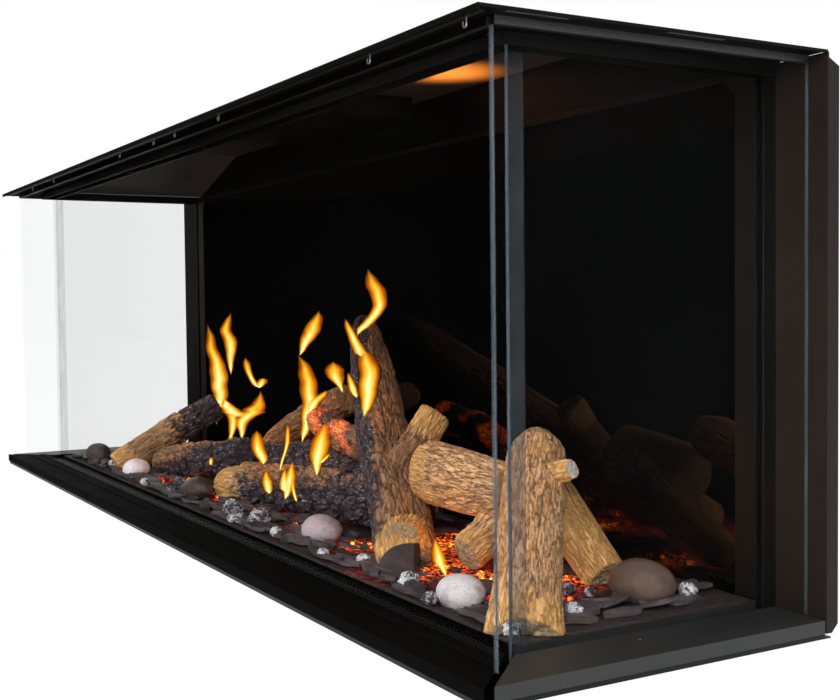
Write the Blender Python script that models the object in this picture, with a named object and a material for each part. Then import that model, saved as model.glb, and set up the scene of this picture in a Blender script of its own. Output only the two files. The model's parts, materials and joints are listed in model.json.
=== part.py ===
"""Three-sided gas fireplace: window section, hood, gas controls and a bed of ceramic logs.

Units are metres, +Z is up. X runs along the long front, the front faces -Y, and the origin is
on the underside of the base, midway along the front and midway from front face to rear panels.
"""

import math
import random

import bmesh
import bpy
from mathutils import Matrix, Vector

# Window section
LENGTH = 1.788
DEPTH = 0.384
HEIGHT = 0.55

# Sheet metal and clearances
SHEET = 0.0015
GAP = 0.0003
CORNER_GAP = 0.0006
OVERRUN = 0.01

# Base pan and sills
PAN_INSET = 0.002
PAN_RIM = 0.005
SILL_TOP = 0.0182
SILL_STEP = 0.001
SILL_LEDGES = (0.035, 0.052)
MITRE_GAP = 0.01
SILL_REAR_GAP = 0.002

# Channel for the inner panes, at the foot, at the top and behind
CHANNEL_INSET = 0.064
CHANNEL_WIDTH = 0.024
CHANNEL_WALL_TOP = 0.0175
RAIL_DROP = 0.0119
SLOT_INSET = 0.08
SLOT_WIDTH = 0.0086

# Panes
GLASS = 0.004
PANE_INSET = 0.0815
SIDE_PANE_INSET = 0.0805
PANE_TOP_ROOM = 0.002
SCREEN_INSET = 0.028
SIDE_SCREEN_INSET = 0.0225
SCREEN_FOOT_GAP = 0.0008
SCREEN_SIDE_LAP = 0.0013
SCREEN_REAR_GAP = 0.001
SCREEN_RAIL_HEIGHT = 0.0074
SCREEN_RAIL_WIDTH = 0.006
SEAL_LEG = 0.015
SEAL_RETURN = 0.0052

# Top plate and hooks
FRONT_LIP = 0.0055
SIDE_LIP = 0.003
PLATE_SLOT_INSET = 0.0017
PLATE_SLOT_WIDTH = 0.011
PLATE_SLOT_STARTS = (0.032, 0.198)
PLATE_SLOT_LENGTHS = (0.0626, 0.067)
HOOK_STRIP_INSET = 0.008
HOOK_STRIP_WIDTH = 0.006
HOOK_WIRE = 0.0007
HOOK_DROP = 0.0052
HOOK_BEND = 0.0026
HOOK_SIDES = 6
HOOK_BEND_STEPS = 5
HOOK_END_ROOM = 0.012
HOOK_SHARES = (0.019, 0.111, 0.326, 0.415, 0.464, 0.554, 0.781, 0.874)

# Rear panels, frame round the back and black glass back
PANEL_FOOT = 0.0053
FLANGE = 0.015
FLANGE_CHAMFER = 0.008
FLANGE_HEAD_ROOM = 0.006
PANEL_NOTCH_INSET = 0.0165
PANEL_NOTCH_WIDTH = 0.016
PANEL_NOTCH_HEIGHT = 0.011
JAMB_INSET = 0.091
JAMB_WIDTH = 0.028
FRAME_RAIL = 0.0063
FRAME_CHAMFER = 0.016
FRAME_EDGE = 0.0004
LINER_LAP = 0.012
LINER_FOOT = 0.014
WALL_INSET = 0.02

# Hood over the firebox
HOOD_FOOT_INSET = 0.086
HOOD_HEIGHT = 0.066
HOOD_ROOF_END_INSET = 0.3
HOOD_ROOF_FRONT_INSET = 0.198
HOOD_SHEET = 0.0018
BAFFLE_LENGTH = 0.32
BAFFLE_WIDTH = 0.14
BAFFLE_DROP = 0.03

# Flue collars
FLUE_INSET = 0.2915
FLUE_BORE = 0.05
AIR_BORE = 0.074
COLLAR_RISE = 0.026
COLLAR_BELOW = 0.012
COLLAR_FLANGE = 0.008

# Burner
TRAY_HEIGHT = 0.0105
TRAY_MARGIN = 0.0012
BURNER_RADIUS = 0.004
BURNER_FRONT_INSET = 0.15
BURNER_REAR_INSET = 0.29
BURNER_HALF_RUN = 0.66
BURNER_SIDES = 8
BEND_STEPS = 8
BED_RISE = 0.0064
BED_DIP = 0.0006
BED_CELLS = (58, 12)
BED_SEED = 4

# Gas controls on the back
CASING_HALF_LENGTH = 0.3
CASING_DEPTH = 0.06
CASING_FOOT = 0.002
CASING_TOP = 0.32
DOOR_OPENING = (0.22, 0.2)
DOOR_OPENING_FOOT = 0.06
DOOR_LAP = 0.008
HINGE_RADIUS = 0.002
HINGE_SIDES = 10
LATCH_EDGE_ROOM = 0.01
LATCH_SHAFT_RADIUS = 0.003
LATCH_KNOB_RADIUS = 0.008
LATCH_KNOB_LENGTH = 0.008
LATCH_TONGUE = (0.006, 0.002, 0.022)
VALVE_SIZE = (0.06, 0.032, 0.06)
VALVE_RIGHT = 0.0
VALVE_FOOT = 0.1
KNOB_RADIUS = 0.012
KNOB_LENGTH = 0.012
KNOB_GRIP = (0.006, 0.004)
SHUTOFF_RADIUS = 0.01
SHUTOFF_LENGTH = 0.055
SHUTOFF_STEM_SHARE = 0.5
INLET_RADIUS = 0.006
INLET_STUB = 0.012
LEVER_SIZE = (0.045, 0.003, 0.008)
LEVER_BOSS_RADIUS = 0.006
LEVER_BOSS_LENGTH = 0.006
MANIFOLD_RADIUS = 0.003
PIPE_BEND = 0.008
ROUND_SIDES = 20

# Pilot burner, behind the centre log
PILOT_ALONG = 0.66
PILOT_INSET = 0.352
PILOT_BASE = (0.04, 0.014, 0.0015)
PILOT_TUBE_RADIUS = 0.004
PILOT_TUBE_HEIGHT = 0.022
PILOT_ROD_RADIUS = 0.0012
PILOT_ROD_HEIGHT = 0.03
PILOT_ROD_SPACING = 0.012

# Logs
LOG_SIDES = 12
LOG_RINGS_PER_LEG = 4
LOG_CLEARANCE = 0.0009
LUMP_SHARE = 0.07
RIDGE_SHARE = 0.06
END_SHARE = 0.93

# Pebbles
PEBBLE_SEGMENTS = 14
PEBBLE_RINGS = 9
PEBBLE_SIT_SHARE = 0.72

# Degrees between two faces from which their shared edge is drawn sharp
SHARP_ANGLE = 40

# Worked out from the sizes above
FRONT_Y = -DEPTH / 2
REAR_Y = DEPTH / 2
END_X = LENGTH / 2
PLATE_UNDER = HEIGHT - SHEET
FLOOR_TOP = SHEET + GAP
CHANNEL_FLOOR = FLOOR_TOP + SHEET
CHANNEL_END = CHANNEL_INSET + CHANNEL_WIDTH
RAIL_FOOT = PLATE_UNDER - RAIL_DROP
PANEL_BACK = REAR_Y + SHEET
LINER_FRONT = PANEL_BACK + GAP
LINER_BACK = LINER_FRONT + GLASS
WALL_FRONT = LINER_BACK + GAP
WALL_BACK = WALL_FRONT + SHEET
HOOD_FOOT = HEIGHT + GAP
ROOF_TOP = HOOD_FOOT + HOOD_HEIGHT
TRAY_INSET = CHANNEL_END + SHEET + TRAY_MARGIN
TRAY_FLOOR = FLOOR_TOP + SHEET
BURNER_Z = TRAY_FLOOR + GAP + BURNER_RADIUS
BED_UNDER = FLOOR_TOP + TRAY_HEIGHT + GAP
BED_TOP = BED_UNDER + BED_RISE
CASING_FRONT = WALL_BACK + GAP
CASING_BACK = CASING_FRONT + CASING_DEPTH
SCREEN_TOP = PLATE_UNDER - GAP - SCREEN_RAIL_HEIGHT

# Colour, roughness and metallic value of each finish
LOOKS = {
    "black_paint": ((0.018, 0.018, 0.019), 0.48, 0.2),
    "rear_paint": ((0.024, 0.021, 0.019), 0.5, 0.2),
    "glass": ((0.86, 0.9, 0.9), 0.04, 0.0),
    "black_glass": ((0.006, 0.006, 0.006), 0.08, 0.0),
    "bright_wire": ((0.75, 0.75, 0.75), 0.3, 1.0),
    "rail": ((0.02, 0.02, 0.022), 0.4, 0.4),
    "seal": ((0.16, 0.19, 0.23), 0.55, 0.0),
    "steel": ((0.52, 0.52, 0.5), 0.35, 1.0),
    "galvanised": ((0.45, 0.46, 0.47), 0.45, 0.9),
    "brass": ((0.7, 0.5, 0.22), 0.35, 1.0),
    "plastic": ((0.03, 0.03, 0.03), 0.5, 0.0),
    "lever": ((0.55, 0.06, 0.03), 0.45, 0.0),
    "embers": ((0.09, 0.055, 0.045), 0.9, 0.0),
    "golden_bark": ((0.42, 0.25, 0.12), 0.85, 0.0),
    "brown_bark": ((0.26, 0.15, 0.08), 0.88, 0.0),
    "charred_bark": ((0.085, 0.06, 0.058), 0.9, 0.0),
    "brown_stone": ((0.12, 0.085, 0.065), 0.6, 0.0),
    "pale_stone": ((0.36, 0.35, 0.35), 0.6, 0.0),
    "white_stone": ((0.55, 0.52, 0.5), 0.6, 0.0),
    "dark_stone": ((0.06, 0.05, 0.045), 0.6, 0.0),
    "pink_stone": ((0.3, 0.23, 0.24), 0.6, 0.0),
}

# Each log: finish, path as shares of length, depth and height, girth shares along the path.
# The first path share runs from the right end, the second from the front face, and the third
# is level with the top of the bed at BED_LEVEL_SHARE.
BED_LEVEL_SHARE = 0.0345
LOG_SHARES = {
    "corner_log": (
        "golden_bark",
        ((0.062, 0.3, 0.02), (0.116, 0.5, 0.178), (0.171, 0.7, 0.304)),
        (1.1, 1.0, 0.93),
    ),
    "cut_log": (
        "golden_bark",
        ((0.194, 0.53, 0.072), (0.196, 0.62, 0.11), (0.198, 0.72, 0.15)),
        (1.0, 1.0, 0.95),
    ),
    "golden_log": (
        "golden_bark",
        ((0.123, 0.78, 0.045), (0.165, 0.8, 0.13), (0.205, 0.83, 0.215)),
        (0.95, 1.05, 0.95),
    ),
    "centre_log": (
        "golden_bark",
        ((0.183, 0.655, 0.192), (0.225, 0.635, 0.2), (0.268, 0.61, 0.207)),
        (0.9, 1.0, 1.05),
    ),
    "standing_log": (
        "brown_bark",
        ((0.228, 0.43, 0.02), (0.303, 0.57, 0.165), (0.375, 0.7, 0.293), (0.49, 0.92, 0.53)),
        (1.0, 1.0, 0.9, 0.58),
    ),
    "front_charred_log": (
        "charred_bark",
        ((0.545, 0.50, 0.078), (0.44, 0.55, 0.098), (0.335, 0.6, 0.11)),
        (0.95, 1.05, 1.0),
    ),
    "middle_charred_log": (
        "charred_bark",
        ((0.645, 0.71, 0.085), (0.53, 0.755, 0.125), (0.415, 0.78, 0.16)),
        (1.0, 1.08, 0.9),
    ),
    "left_charred_log": (
        "charred_bark",
        ((0.755, 0.48, 0.07), (0.68, 0.54, 0.1), (0.595, 0.6, 0.145)),
        (0.95, 1.05, 0.85),
    ),
    "end_log": (
        "charred_bark",
        ((0.785, 0.3, 0.05), (0.78, 0.52, 0.14), (0.765, 0.78, 0.24)),
        (1.0, 1.1, 0.85),
    ),
    "back_log": (
        "brown_bark",
        ((0.7, 0.86, 0.03), (0.65, 0.87, 0.15), (0.58, 0.87, 0.24), (0.5, 0.87, 0.315)),
        (1.0, 1.0, 1.05, 0.9),
    ),
    "glowing_log": (
        "brown_bark",
        ((0.495, 0.72, 0.26), (0.45, 0.715, 0.235), (0.4, 0.71, 0.215)),
        (0.9, 1.0, 0.95),
    ),
}
# Each log's radius as a share of the height
LOG_GIRTH_SHARES = {
    "corner_log": 0.0545,
    "cut_log": 0.0427,
    "golden_log": 0.0464,
    "centre_log": 0.0655,
    "standing_log": 0.0664,
    "front_charred_log": 0.0527,
    "middle_charred_log": 0.0545,
    "left_charred_log": 0.0473,
    "end_log": 0.0436,
    "back_log": 0.0473,
    "glowing_log": 0.0418,
}
# The logs that each log is moulded to sit on or beside
LOG_NEIGHBOURS = {
    "cut_log": ("corner_log",),
    "golden_log": ("corner_log", "cut_log"),
    "centre_log": ("corner_log", "cut_log", "golden_log"),
    "standing_log": ("cut_log", "centre_log"),
    "front_charred_log": ("standing_log",),
    "middle_charred_log": ("front_charred_log", "standing_log"),
    "left_charred_log": ("front_charred_log", "middle_charred_log"),
    "end_log": ("left_charred_log",),
    "back_log": ("middle_charred_log", "left_charred_log", "standing_log"),
    "glowing_log": ("middle_charred_log", "back_log", "standing_log", "front_charred_log"),
}
# Branch stubs: share of the log's path, direction, and radius and length as shares of the height
BRANCH_SHARES = {
    "corner_log": (0.68, (0.9, 0.2, 0.35), 0.0164, 0.0436),
    "standing_log": (0.34, (0.0, 0.57, 0.82), 0.0345, 0.188),
}
BRANCH_SIDES = 8

# Pebbles: finish, place as shares of length and depth, and the half sizes
PEBBLE_SHARES = {
    "brown_pebble": ("brown_stone", (0.0865, 0.755)),
    "pale_pebble": ("pale_stone", (0.127, 0.315)),
    "white_pebble": ("white_stone", (0.338, 0.385)),
    "dark_pebble": ("dark_stone", (0.571, 0.345)),
    "pink_pebble": ("pink_stone", (0.738, 0.325)),
    "end_pebble": ("dark_stone", (0.876, 0.325)),
}
PEBBLE_SIZES = {
    "brown_pebble": (0.0365, 0.031, 0.0235),
    "pale_pebble": (0.0285, 0.0235, 0.0185),
    "white_pebble": (0.0295, 0.0245, 0.0192),
    "dark_pebble": (0.0325, 0.0278, 0.019),
    "pink_pebble": (0.0297, 0.0236, 0.0176),
    "end_pebble": (0.0257, 0.0234, 0.02),
}


# Scene and material helpers
def clear_scene():
    for obj in list(bpy.data.objects):
        bpy.data.objects.remove(obj, do_unlink=True)


def material_for(name, look):
    colour, roughness, metallic = LOOKS[look]
    material = bpy.data.materials.new(name)
    material.use_nodes = True
    shader = material.node_tree.nodes["Principled BSDF"]
    shader.inputs["Base Color"].default_value = (*colour, 1.0)
    shader.inputs["Roughness"].default_value = roughness
    shader.inputs["Metallic"].default_value = metallic
    return material


def mesh_object(name, bm, location=(0, 0, 0), turn=0.0):
    bmesh.ops.recalc_face_normals(bm, faces=bm.faces)
    mesh = bpy.data.meshes.new(name)
    bm.to_mesh(mesh)
    bm.free()
    obj = bpy.data.objects.new(name, mesh)
    obj.location = location
    obj.rotation_euler = (0, 0, turn)
    bpy.context.scene.collection.objects.link(obj)
    return obj


def piece(name, bm, look, location=(0, 0, 0), turn=0.0, rounded=False):
    """Make one named piece of the fireplace with its own material."""
    obj = mesh_object(name, bm, location, turn)
    obj.data.materials.append(material_for(name, look))
    if rounded:
        obj.data.shade_smooth()
        obj.data.set_sharp_from_angle(angle=math.radians(SHARP_ANGLE))
    return obj


def helper(name, bm, target):
    """Make a hidden shape in the target's own frame, for a Boolean."""
    obj = mesh_object(name, bm)
    obj.location = target.location
    obj.rotation_euler = target.rotation_euler
    obj.hide_render = True
    obj.display_type = "WIRE"
    return obj


def combine(target, bm, operation):
    modifier = target.modifiers.new(operation.title(), "BOOLEAN")
    modifier.operation = operation
    modifier.solver = "EXACT"
    modifier.object = helper(f"{target.name}_{operation.lower()}_{len(target.modifiers)}", bm, target)


def cut(target, bm):
    combine(target, bm, "DIFFERENCE")


def fuse(target, bm):
    combine(target, bm, "UNION")


# Shape helpers
def box(low, high):
    """Return a block between two corners."""
    bm = bmesh.new()
    low = Vector(low)
    high = Vector(high)
    size = high - low
    matrix = Matrix.Translation((low + high) / 2) @ Matrix.Diagonal((*size, 1))
    bmesh.ops.create_cube(bm, size=1, matrix=matrix)
    return bm


def prism(outline, shift):
    """Return the solid that an outline of 3D points sweeps along one straight shift."""
    bm = bmesh.new()
    face = bm.faces.new([bm.verts.new(point) for point in outline])
    swept = bmesh.ops.extrude_face_region(bm, geom=[face])
    moved = [item for item in swept["geom"] if isinstance(item, bmesh.types.BMVert)]
    bmesh.ops.translate(bm, verts=moved, vec=shift)
    return bm


def strip(profile, start, end, start_mitre=0, end_mitre=0):
    """Return a folded section, given as (inset, height) points, run along X with mitred ends."""
    bm = bmesh.new()
    first = [bm.verts.new((start + start_mitre * inset, inset, z)) for inset, z in profile]
    last = [bm.verts.new((end - end_mitre * inset, inset, z)) for inset, z in profile]
    bm.faces.new(first)
    bm.faces.new(last[::-1])
    for index in range(len(profile)):
        after = (index + 1) % len(profile)
        bm.faces.new((first[index], last[index], last[after], first[after]))
    return bm


def cylinder(radius, start, end, sides=ROUND_SIDES):
    """Return a round bar between two points."""
    bm = bmesh.new()
    start = Vector(start)
    axis = Vector(end) - start
    turn = Vector((0, 0, 1)).rotation_difference(axis).to_matrix().to_4x4()
    matrix = Matrix.Translation(start + axis / 2) @ turn
    bmesh.ops.create_cone(
        bm,
        cap_ends=True,
        segments=sides,
        radius1=radius,
        radius2=radius,
        depth=axis.length,
        matrix=matrix,
    )
    return bm


def sweep(points, radii, sides, shares=None):
    """Return a tube through points, with a radius at each point and optional shares round each ring."""
    bm = bmesh.new()
    rings = []
    tangent = (points[1] - points[0]).normalized()
    side = tangent.orthogonal().normalized()
    for index, point in enumerate(points):
        before = points[max(index - 1, 0)]
        after = points[min(index + 1, len(points) - 1)]
        turned = (after - before).normalized()
        side = tangent.rotation_difference(turned) @ side
        tangent = turned
        across = tangent.cross(side)
        ring = []
        for step in range(sides):
            angle = math.tau * step / sides
            share = shares[index][step] if shares else 1
            arm = side * math.cos(angle) + across * math.sin(angle)
            ring.append(bm.verts.new(point + arm * radii[index] * share))
        rings.append(ring)
    bm.faces.new(rings[0][::-1])
    bm.faces.new(rings[-1])
    for ring, following in zip(rings, rings[1:]):
        for step in range(sides):
            after = (step + 1) % sides
            bm.faces.new((ring[step], ring[after], following[after], following[step]))
    return bm


def arc(centre, start_arm, end_arm, steps):
    """Return points from one arm to the other round a centre, both arms square and alike in length."""
    points = []
    for step in range(steps + 1):
        angle = math.pi / 2 * step / steps
        points.append(centre + start_arm * math.cos(angle) + end_arm * math.sin(angle))
    return points


def curve_through(points, steps):
    """Return points along a smooth curve through the given ones, with steps for each leg."""
    ends = [2 * points[0] - points[1], *points, 2 * points[-1] - points[-2]]
    made = []
    for leg in range(len(points) - 1):
        a, b, c, d = ends[leg : leg + 4]
        for step in range(steps):
            t = step / steps
            made.append(
                (2 * b + (c - a) * t + (2 * a - 5 * b + 4 * c - d) * t**2 + (3 * b - a - 3 * c + d) * t**3)
                / 2
            )
    made.append(points[-1])
    return made


# Places round the window
def side_place(side):
    """Location and turn of a piece drawn with its run along X and its inset along +Y."""
    return {
        "front": ((0, FRONT_Y, 0), 0.0),
        "right": ((END_X, 0, 0), math.pi / 2),
        "left": ((-END_X, 0, 0), -math.pi / 2),
    }[side]


def side_run(side, front_room, rear_room, mitred):
    """Start, end, start mitre and end mitre of a run; the rooms are kept free of its two ends."""
    mitre = 1 if mitred else 0
    if side == "front":
        return -END_X + front_room, END_X - front_room, mitre, mitre
    if side == "right":
        return FRONT_Y + front_room, REAR_Y - rear_room, mitre, 0
    return -REAR_Y + rear_room, -FRONT_Y - front_room, 0, mitre


def side_piece(name, side, profile, front_room, rear_room, look, mitred=False):
    bm = strip(profile, *side_run(side, front_room, rear_room, mitred))
    location, turn = side_place(side)
    return piece(name, bm, look, location, turn)


def block_profile(inset, width, foot, top):
    return ((inset, foot), (inset, top), (inset + width, top), (inset + width, foot))


# Structure
def make_base_pan():
    low_x = END_X - PAN_INSET
    front = FRONT_Y + PAN_INSET
    pan = piece("base_pan", box((-low_x, front, 0), (low_x, WALL_BACK, SHEET)), "black_paint")
    fuse(pan, box((-low_x, front, 0), (low_x, front + SHEET, PAN_RIM)))
    for edge in (-low_x, low_x - SHEET):
        fuse(pan, box((edge, front, 0), (edge + SHEET, REAR_Y, PAN_RIM)))


def sill_profile(stepped):
    """Fascia, flat top, and the channel that the inner pane stands in."""
    foot = PAN_RIM + GAP
    under = SILL_TOP - SHEET
    top = [(0, foot), (0, SILL_TOP)]
    height = SILL_TOP
    if stepped:
        for ledge in SILL_LEDGES:
            top += [(ledge, height), (ledge, height + SILL_STEP)]
            height += SILL_STEP
    return (
        *top,
        (CHANNEL_INSET, height),
        (CHANNEL_INSET, CHANNEL_FLOOR),
        (CHANNEL_END, CHANNEL_FLOOR),
        (CHANNEL_END, CHANNEL_WALL_TOP),
        (CHANNEL_END + SHEET, CHANNEL_WALL_TOP),
        (CHANNEL_END + SHEET, FLOOR_TOP),
        (CHANNEL_INSET - SHEET, FLOOR_TOP),
        (CHANNEL_INSET - SHEET, under),
        (SHEET, under),
        (SHEET, foot),
    )


def make_sills():
    side_piece("front_sill", "front", sill_profile(True), 0, 0, "black_paint", mitred=True)
    for side in ("left", "right"):
        side_piece(
            f"{side}_sill", side, sill_profile(False), MITRE_GAP, SILL_REAR_GAP, "black_paint", mitred=True
        )


def make_top_channels():
    head = PLATE_UNDER - GAP
    profile = (
        (CHANNEL_INSET, RAIL_FOOT),
        (CHANNEL_INSET, head),
        (CHANNEL_END, head),
        (CHANNEL_END, RAIL_FOOT),
        (CHANNEL_END - SHEET, RAIL_FOOT),
        (CHANNEL_END - SHEET, head - SHEET),
        (CHANNEL_INSET + SHEET, head - SHEET),
        (CHANNEL_INSET + SHEET, RAIL_FOOT),
    )
    side_piece("front_top_channel", "front", profile, 0, 0, "black_paint", mitred=True)
    for side in ("left", "right"):
        side_piece(
            f"{side}_top_channel", side, profile, CORNER_GAP, SILL_REAR_GAP, "black_paint", mitred=True
        )


def plate_slots(side):
    """Cutters for the two slots near one side edge of the top plate."""
    for start, length in zip(PLATE_SLOT_STARTS, PLATE_SLOT_LENGTHS):
        near = END_X - PLATE_SLOT_INSET
        far = near - PLATE_SLOT_WIDTH
        low = (min(side * near, side * far), FRONT_Y + start, PLATE_UNDER - OVERRUN)
        high = (max(side * near, side * far), FRONT_Y + start + length, HEIGHT + OVERRUN)
        yield box(low, high)


def make_top_plate():
    """Plate round three sides of the hood, with its lips and slots."""
    tail = WALL_FRONT - GAP
    outer = END_X - CHANNEL_INSET
    inner = END_X - CHANNEL_END
    right_half = (
        (END_X, FRONT_Y),
        (END_X, REAR_Y),
        (outer, REAR_Y),
        (outer, tail),
        (inner, tail),
        (inner, FRONT_Y + CHANNEL_END),
    )
    left_half = tuple((-x, y) for x, y in reversed(right_half))
    outline = [(x, y, PLATE_UNDER) for x, y in (*right_half, *left_half)]
    plate = piece("top_plate", prism(outline, (0, 0, SHEET)), "black_paint")
    fuse(plate, box((-END_X, FRONT_Y, HEIGHT - FRONT_LIP), (END_X, FRONT_Y + SHEET, HEIGHT)))
    for edge in (-END_X, END_X - SHEET):
        fuse(plate, box((edge, FRONT_Y, HEIGHT - SIDE_LIP), (edge + SHEET, REAR_Y, HEIGHT)))
    for side in (-1, 1):
        for slot in plate_slots(side):
            cut(plate, slot)


def make_hook_strip():
    """Strip under the top plate with its row of small J hooks."""
    head = PLATE_UNDER - GAP
    inset = FRONT_Y + HOOK_STRIP_INSET
    half = END_X - HOOK_END_ROOM
    under = head - SHEET
    block = box((-half, inset, under), (half, inset + HOOK_STRIP_WIDTH, head))
    hooks = piece("hook_strip", block, "bright_wire")
    for share in HOOK_SHARES:
        x = END_X - share * LENGTH
        y = inset + HOOK_STRIP_WIDTH / 2
        centre = Vector((x - HOOK_BEND, y, under - HOOK_DROP))
        reach = Vector((HOOK_BEND, 0, 0))
        drop = Vector((0, 0, -HOOK_BEND))
        bend = arc(centre, reach, drop, HOOK_BEND_STEPS) + arc(centre, drop, -reach, HOOK_BEND_STEPS)[1:]
        stem = Vector((x, y, under + SHEET / 2))
        tip = centre - reach - drop
        points = [stem, *bend, tip]
        fuse(hooks, sweep(points, [HOOK_WIRE] * len(points), HOOK_SIDES))


def make_rear_panels():
    """Trim panels beside the firebox, each with an outer flange and an inner return."""
    top = PLATE_UNDER - GAP
    foot = PANEL_FOOT
    for side, sign in (("left", -1), ("right", 1)):
        outer = sign * END_X
        inner = sign * (END_X - CHANNEL_INSET + GAP)
        xs = sorted((outer, inner))
        panel = piece(f"{side}_rear_panel", box((xs[0], REAR_Y, foot), (xs[1], PANEL_BACK, top)), "rear_paint")
        flange_back = REAR_Y + FLANGE
        flange_top = HEIGHT - FLANGE_HEAD_ROOM
        outline = [
            (outer, REAR_Y, foot),
            (outer, flange_back - FLANGE_CHAMFER, foot),
            (outer, flange_back, foot + FLANGE_CHAMFER),
            (outer, flange_back, flange_top - FLANGE_CHAMFER),
            (outer, REAR_Y, flange_top),
        ]
        fuse(panel, prism(outline, (-sign * SHEET, 0, 0)))
        wall = sorted((inner, inner + sign * SHEET))
        fuse(panel, box((wall[0], REAR_Y, foot), (wall[1], WALL_FRONT - GAP, top)))
        near = sign * (END_X - PANEL_NOTCH_INSET)
        far = near - sign * PANEL_NOTCH_WIDTH
        notch = sorted((near, far))
        cut(
            panel,
            box(
                (notch[0], REAR_Y - OVERRUN, foot - OVERRUN),
                (notch[1], PANEL_BACK + OVERRUN, foot + PANEL_NOTCH_HEIGHT),
            ),
        )


def make_side_channels():
    """Upright channels behind the side panes, each a flat face beside a slot."""
    foot = FLOOR_TOP
    top = PLATE_UNDER - GAP
    floor = WALL_FRONT - GAP
    for side, sign in (("left", -1), ("right", 1)):
        slot_end = SLOT_INSET + SLOT_WIDTH
        section = (
            (CHANNEL_INSET + GAP, REAR_Y),
            (SLOT_INSET, REAR_Y),
            (SLOT_INSET, floor - SHEET),
            (slot_end, floor - SHEET),
            (slot_end, REAR_Y),
            (slot_end + SHEET, REAR_Y),
            (slot_end + SHEET, floor),
            (SLOT_INSET - SHEET, floor),
            (SLOT_INSET - SHEET, REAR_Y + SHEET),
            (CHANNEL_INSET + GAP, REAR_Y + SHEET),
        )
        outline = [(sign * (END_X - inset), y, foot) for inset, y in section]
        piece(f"{side}_side_channel", prism(outline, (0, 0, top - foot)), "rear_paint")


def make_rear_frame():
    """Jambs and top rail round the glass back, with sloped inner corners."""
    top = PLATE_UNDER - GAP
    jamb_out = END_X - JAMB_INSET
    jamb_in = jamb_out - JAMB_WIDTH
    rail = top - FRAME_RAIL
    right_half = (
        (jamb_in, rail - FRAME_CHAMFER),
        (jamb_in, BED_TOP + GAP),
        (jamb_out, BED_TOP + GAP),
        (jamb_out, top),
    )
    right = [(jamb_in - FRAME_CHAMFER, rail), *right_half]
    left = [(-x, z) for x, z in reversed(right)]
    outline = [(x, REAR_Y, z) for x, z in (*right, *left)]
    frame = piece("rear_frame", prism(outline, (0, SHEET, 0)), "rear_paint")
    frame.modifiers.new("Rounded edges", "BEVEL").width = FRAME_EDGE


def make_back_liner():
    half = END_X - JAMB_INSET - LINER_LAP
    low = (-half, LINER_FRONT, LINER_FOOT)
    high = (half, LINER_BACK, PLATE_UNDER - GAP)
    piece("back_liner", box(low, high), "black_glass")


def hood_rings(lower):
    """Foot and roof rectangles of the hood, as half length, front, rear and height."""
    foot = (END_X - HOOD_FOOT_INSET, FRONT_Y + HOOD_FOOT_INSET, HOOD_FOOT - lower)
    roof = (END_X - HOOD_ROOF_END_INSET, FRONT_Y + HOOD_ROOF_FRONT_INSET, ROOF_TOP - lower)
    return foot, roof


def hood_solid(lower, rear):
    """Return a block with sloping front and ends, lowered by a distance."""
    bm = bmesh.new()
    rings = []
    for half, front, z in hood_rings(lower):
        corners = ((-half, front), (half, front), (half, rear), (-half, rear))
        rings.append([bm.verts.new((x, y, z)) for x, y in corners])
    bm.faces.new(rings[0][::-1])
    bm.faces.new(rings[1])
    for index in range(4):
        after = (index + 1) % 4
        bm.faces.new((rings[0][index], rings[0][after], rings[1][after], rings[1][index]))
    return bm


def make_hood():
    hood = piece("firebox_hood", hood_solid(0, WALL_FRONT - GAP), "black_paint")
    cut(hood, hood_solid(HOOD_SHEET, WALL_FRONT + OVERRUN))
    centre = FRONT_Y + FLUE_INSET
    outlet = AIR_BORE + SHEET + 2 * GAP
    low = (0, centre, ROOF_TOP - OVERRUN)
    high = (0, centre, ROOF_TOP + OVERRUN)
    cut(hood, cylinder(outlet, low, high, 2 * ROUND_SIDES))


def make_rear_wall():
    """Steel back, as wide as the firebox below the top plate and as the hood above it."""
    wide = END_X - WALL_INSET
    (foot, _, hood_foot), (roof, _, roof_top) = hood_rings(0)
    outline = [
        (-wide, FLOOR_TOP),
        (wide, FLOOR_TOP),
        (wide, PLATE_UNDER - GAP),
        (foot, PLATE_UNDER - GAP),
        (foot, hood_foot),
        (roof, roof_top),
        (-roof, roof_top),
        (-foot, hood_foot),
        (-foot, PLATE_UNDER - GAP),
        (-wide, PLATE_UNDER - GAP),
    ]
    bm = prism([(x, WALL_FRONT, z) for x, z in outline], (0, SHEET, 0))
    wall = piece("rear_wall", bm, "black_paint")
    cut(wall, manifold_hole(WALL_FRONT - OVERRUN, WALL_BACK + OVERRUN))


def manifold_x():
    """The manifold leaves the gas valve at the middle of its width."""
    return VALVE_RIGHT - VALVE_SIZE[0] / 2


def manifold_hole(front, rear):
    x = manifold_x()
    return cylinder(MANIFOLD_RADIUS + GAP, (x, front, BURNER_Z), (x, rear, BURNER_Z))


def make_baffle():
    """Plate hung under the flue outlet by its two turned-up ends."""
    half = BAFFLE_LENGTH / 2
    under = ROOF_TOP - HOOD_SHEET - GAP
    foot = under - BAFFLE_DROP
    outline = (
        (-half, under),
        (-half, foot),
        (half, foot),
        (half, under),
        (half - SHEET, under),
        (half - SHEET, foot + SHEET),
        (-half + SHEET, foot + SHEET),
        (-half + SHEET, under),
    )
    front = FRONT_Y + FLUE_INSET - BAFFLE_WIDTH / 2
    bm = prism([(x, front, z) for x, z in outline], (0, BAFFLE_WIDTH, 0))
    piece("hood_baffle", bm, "black_paint")


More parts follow.
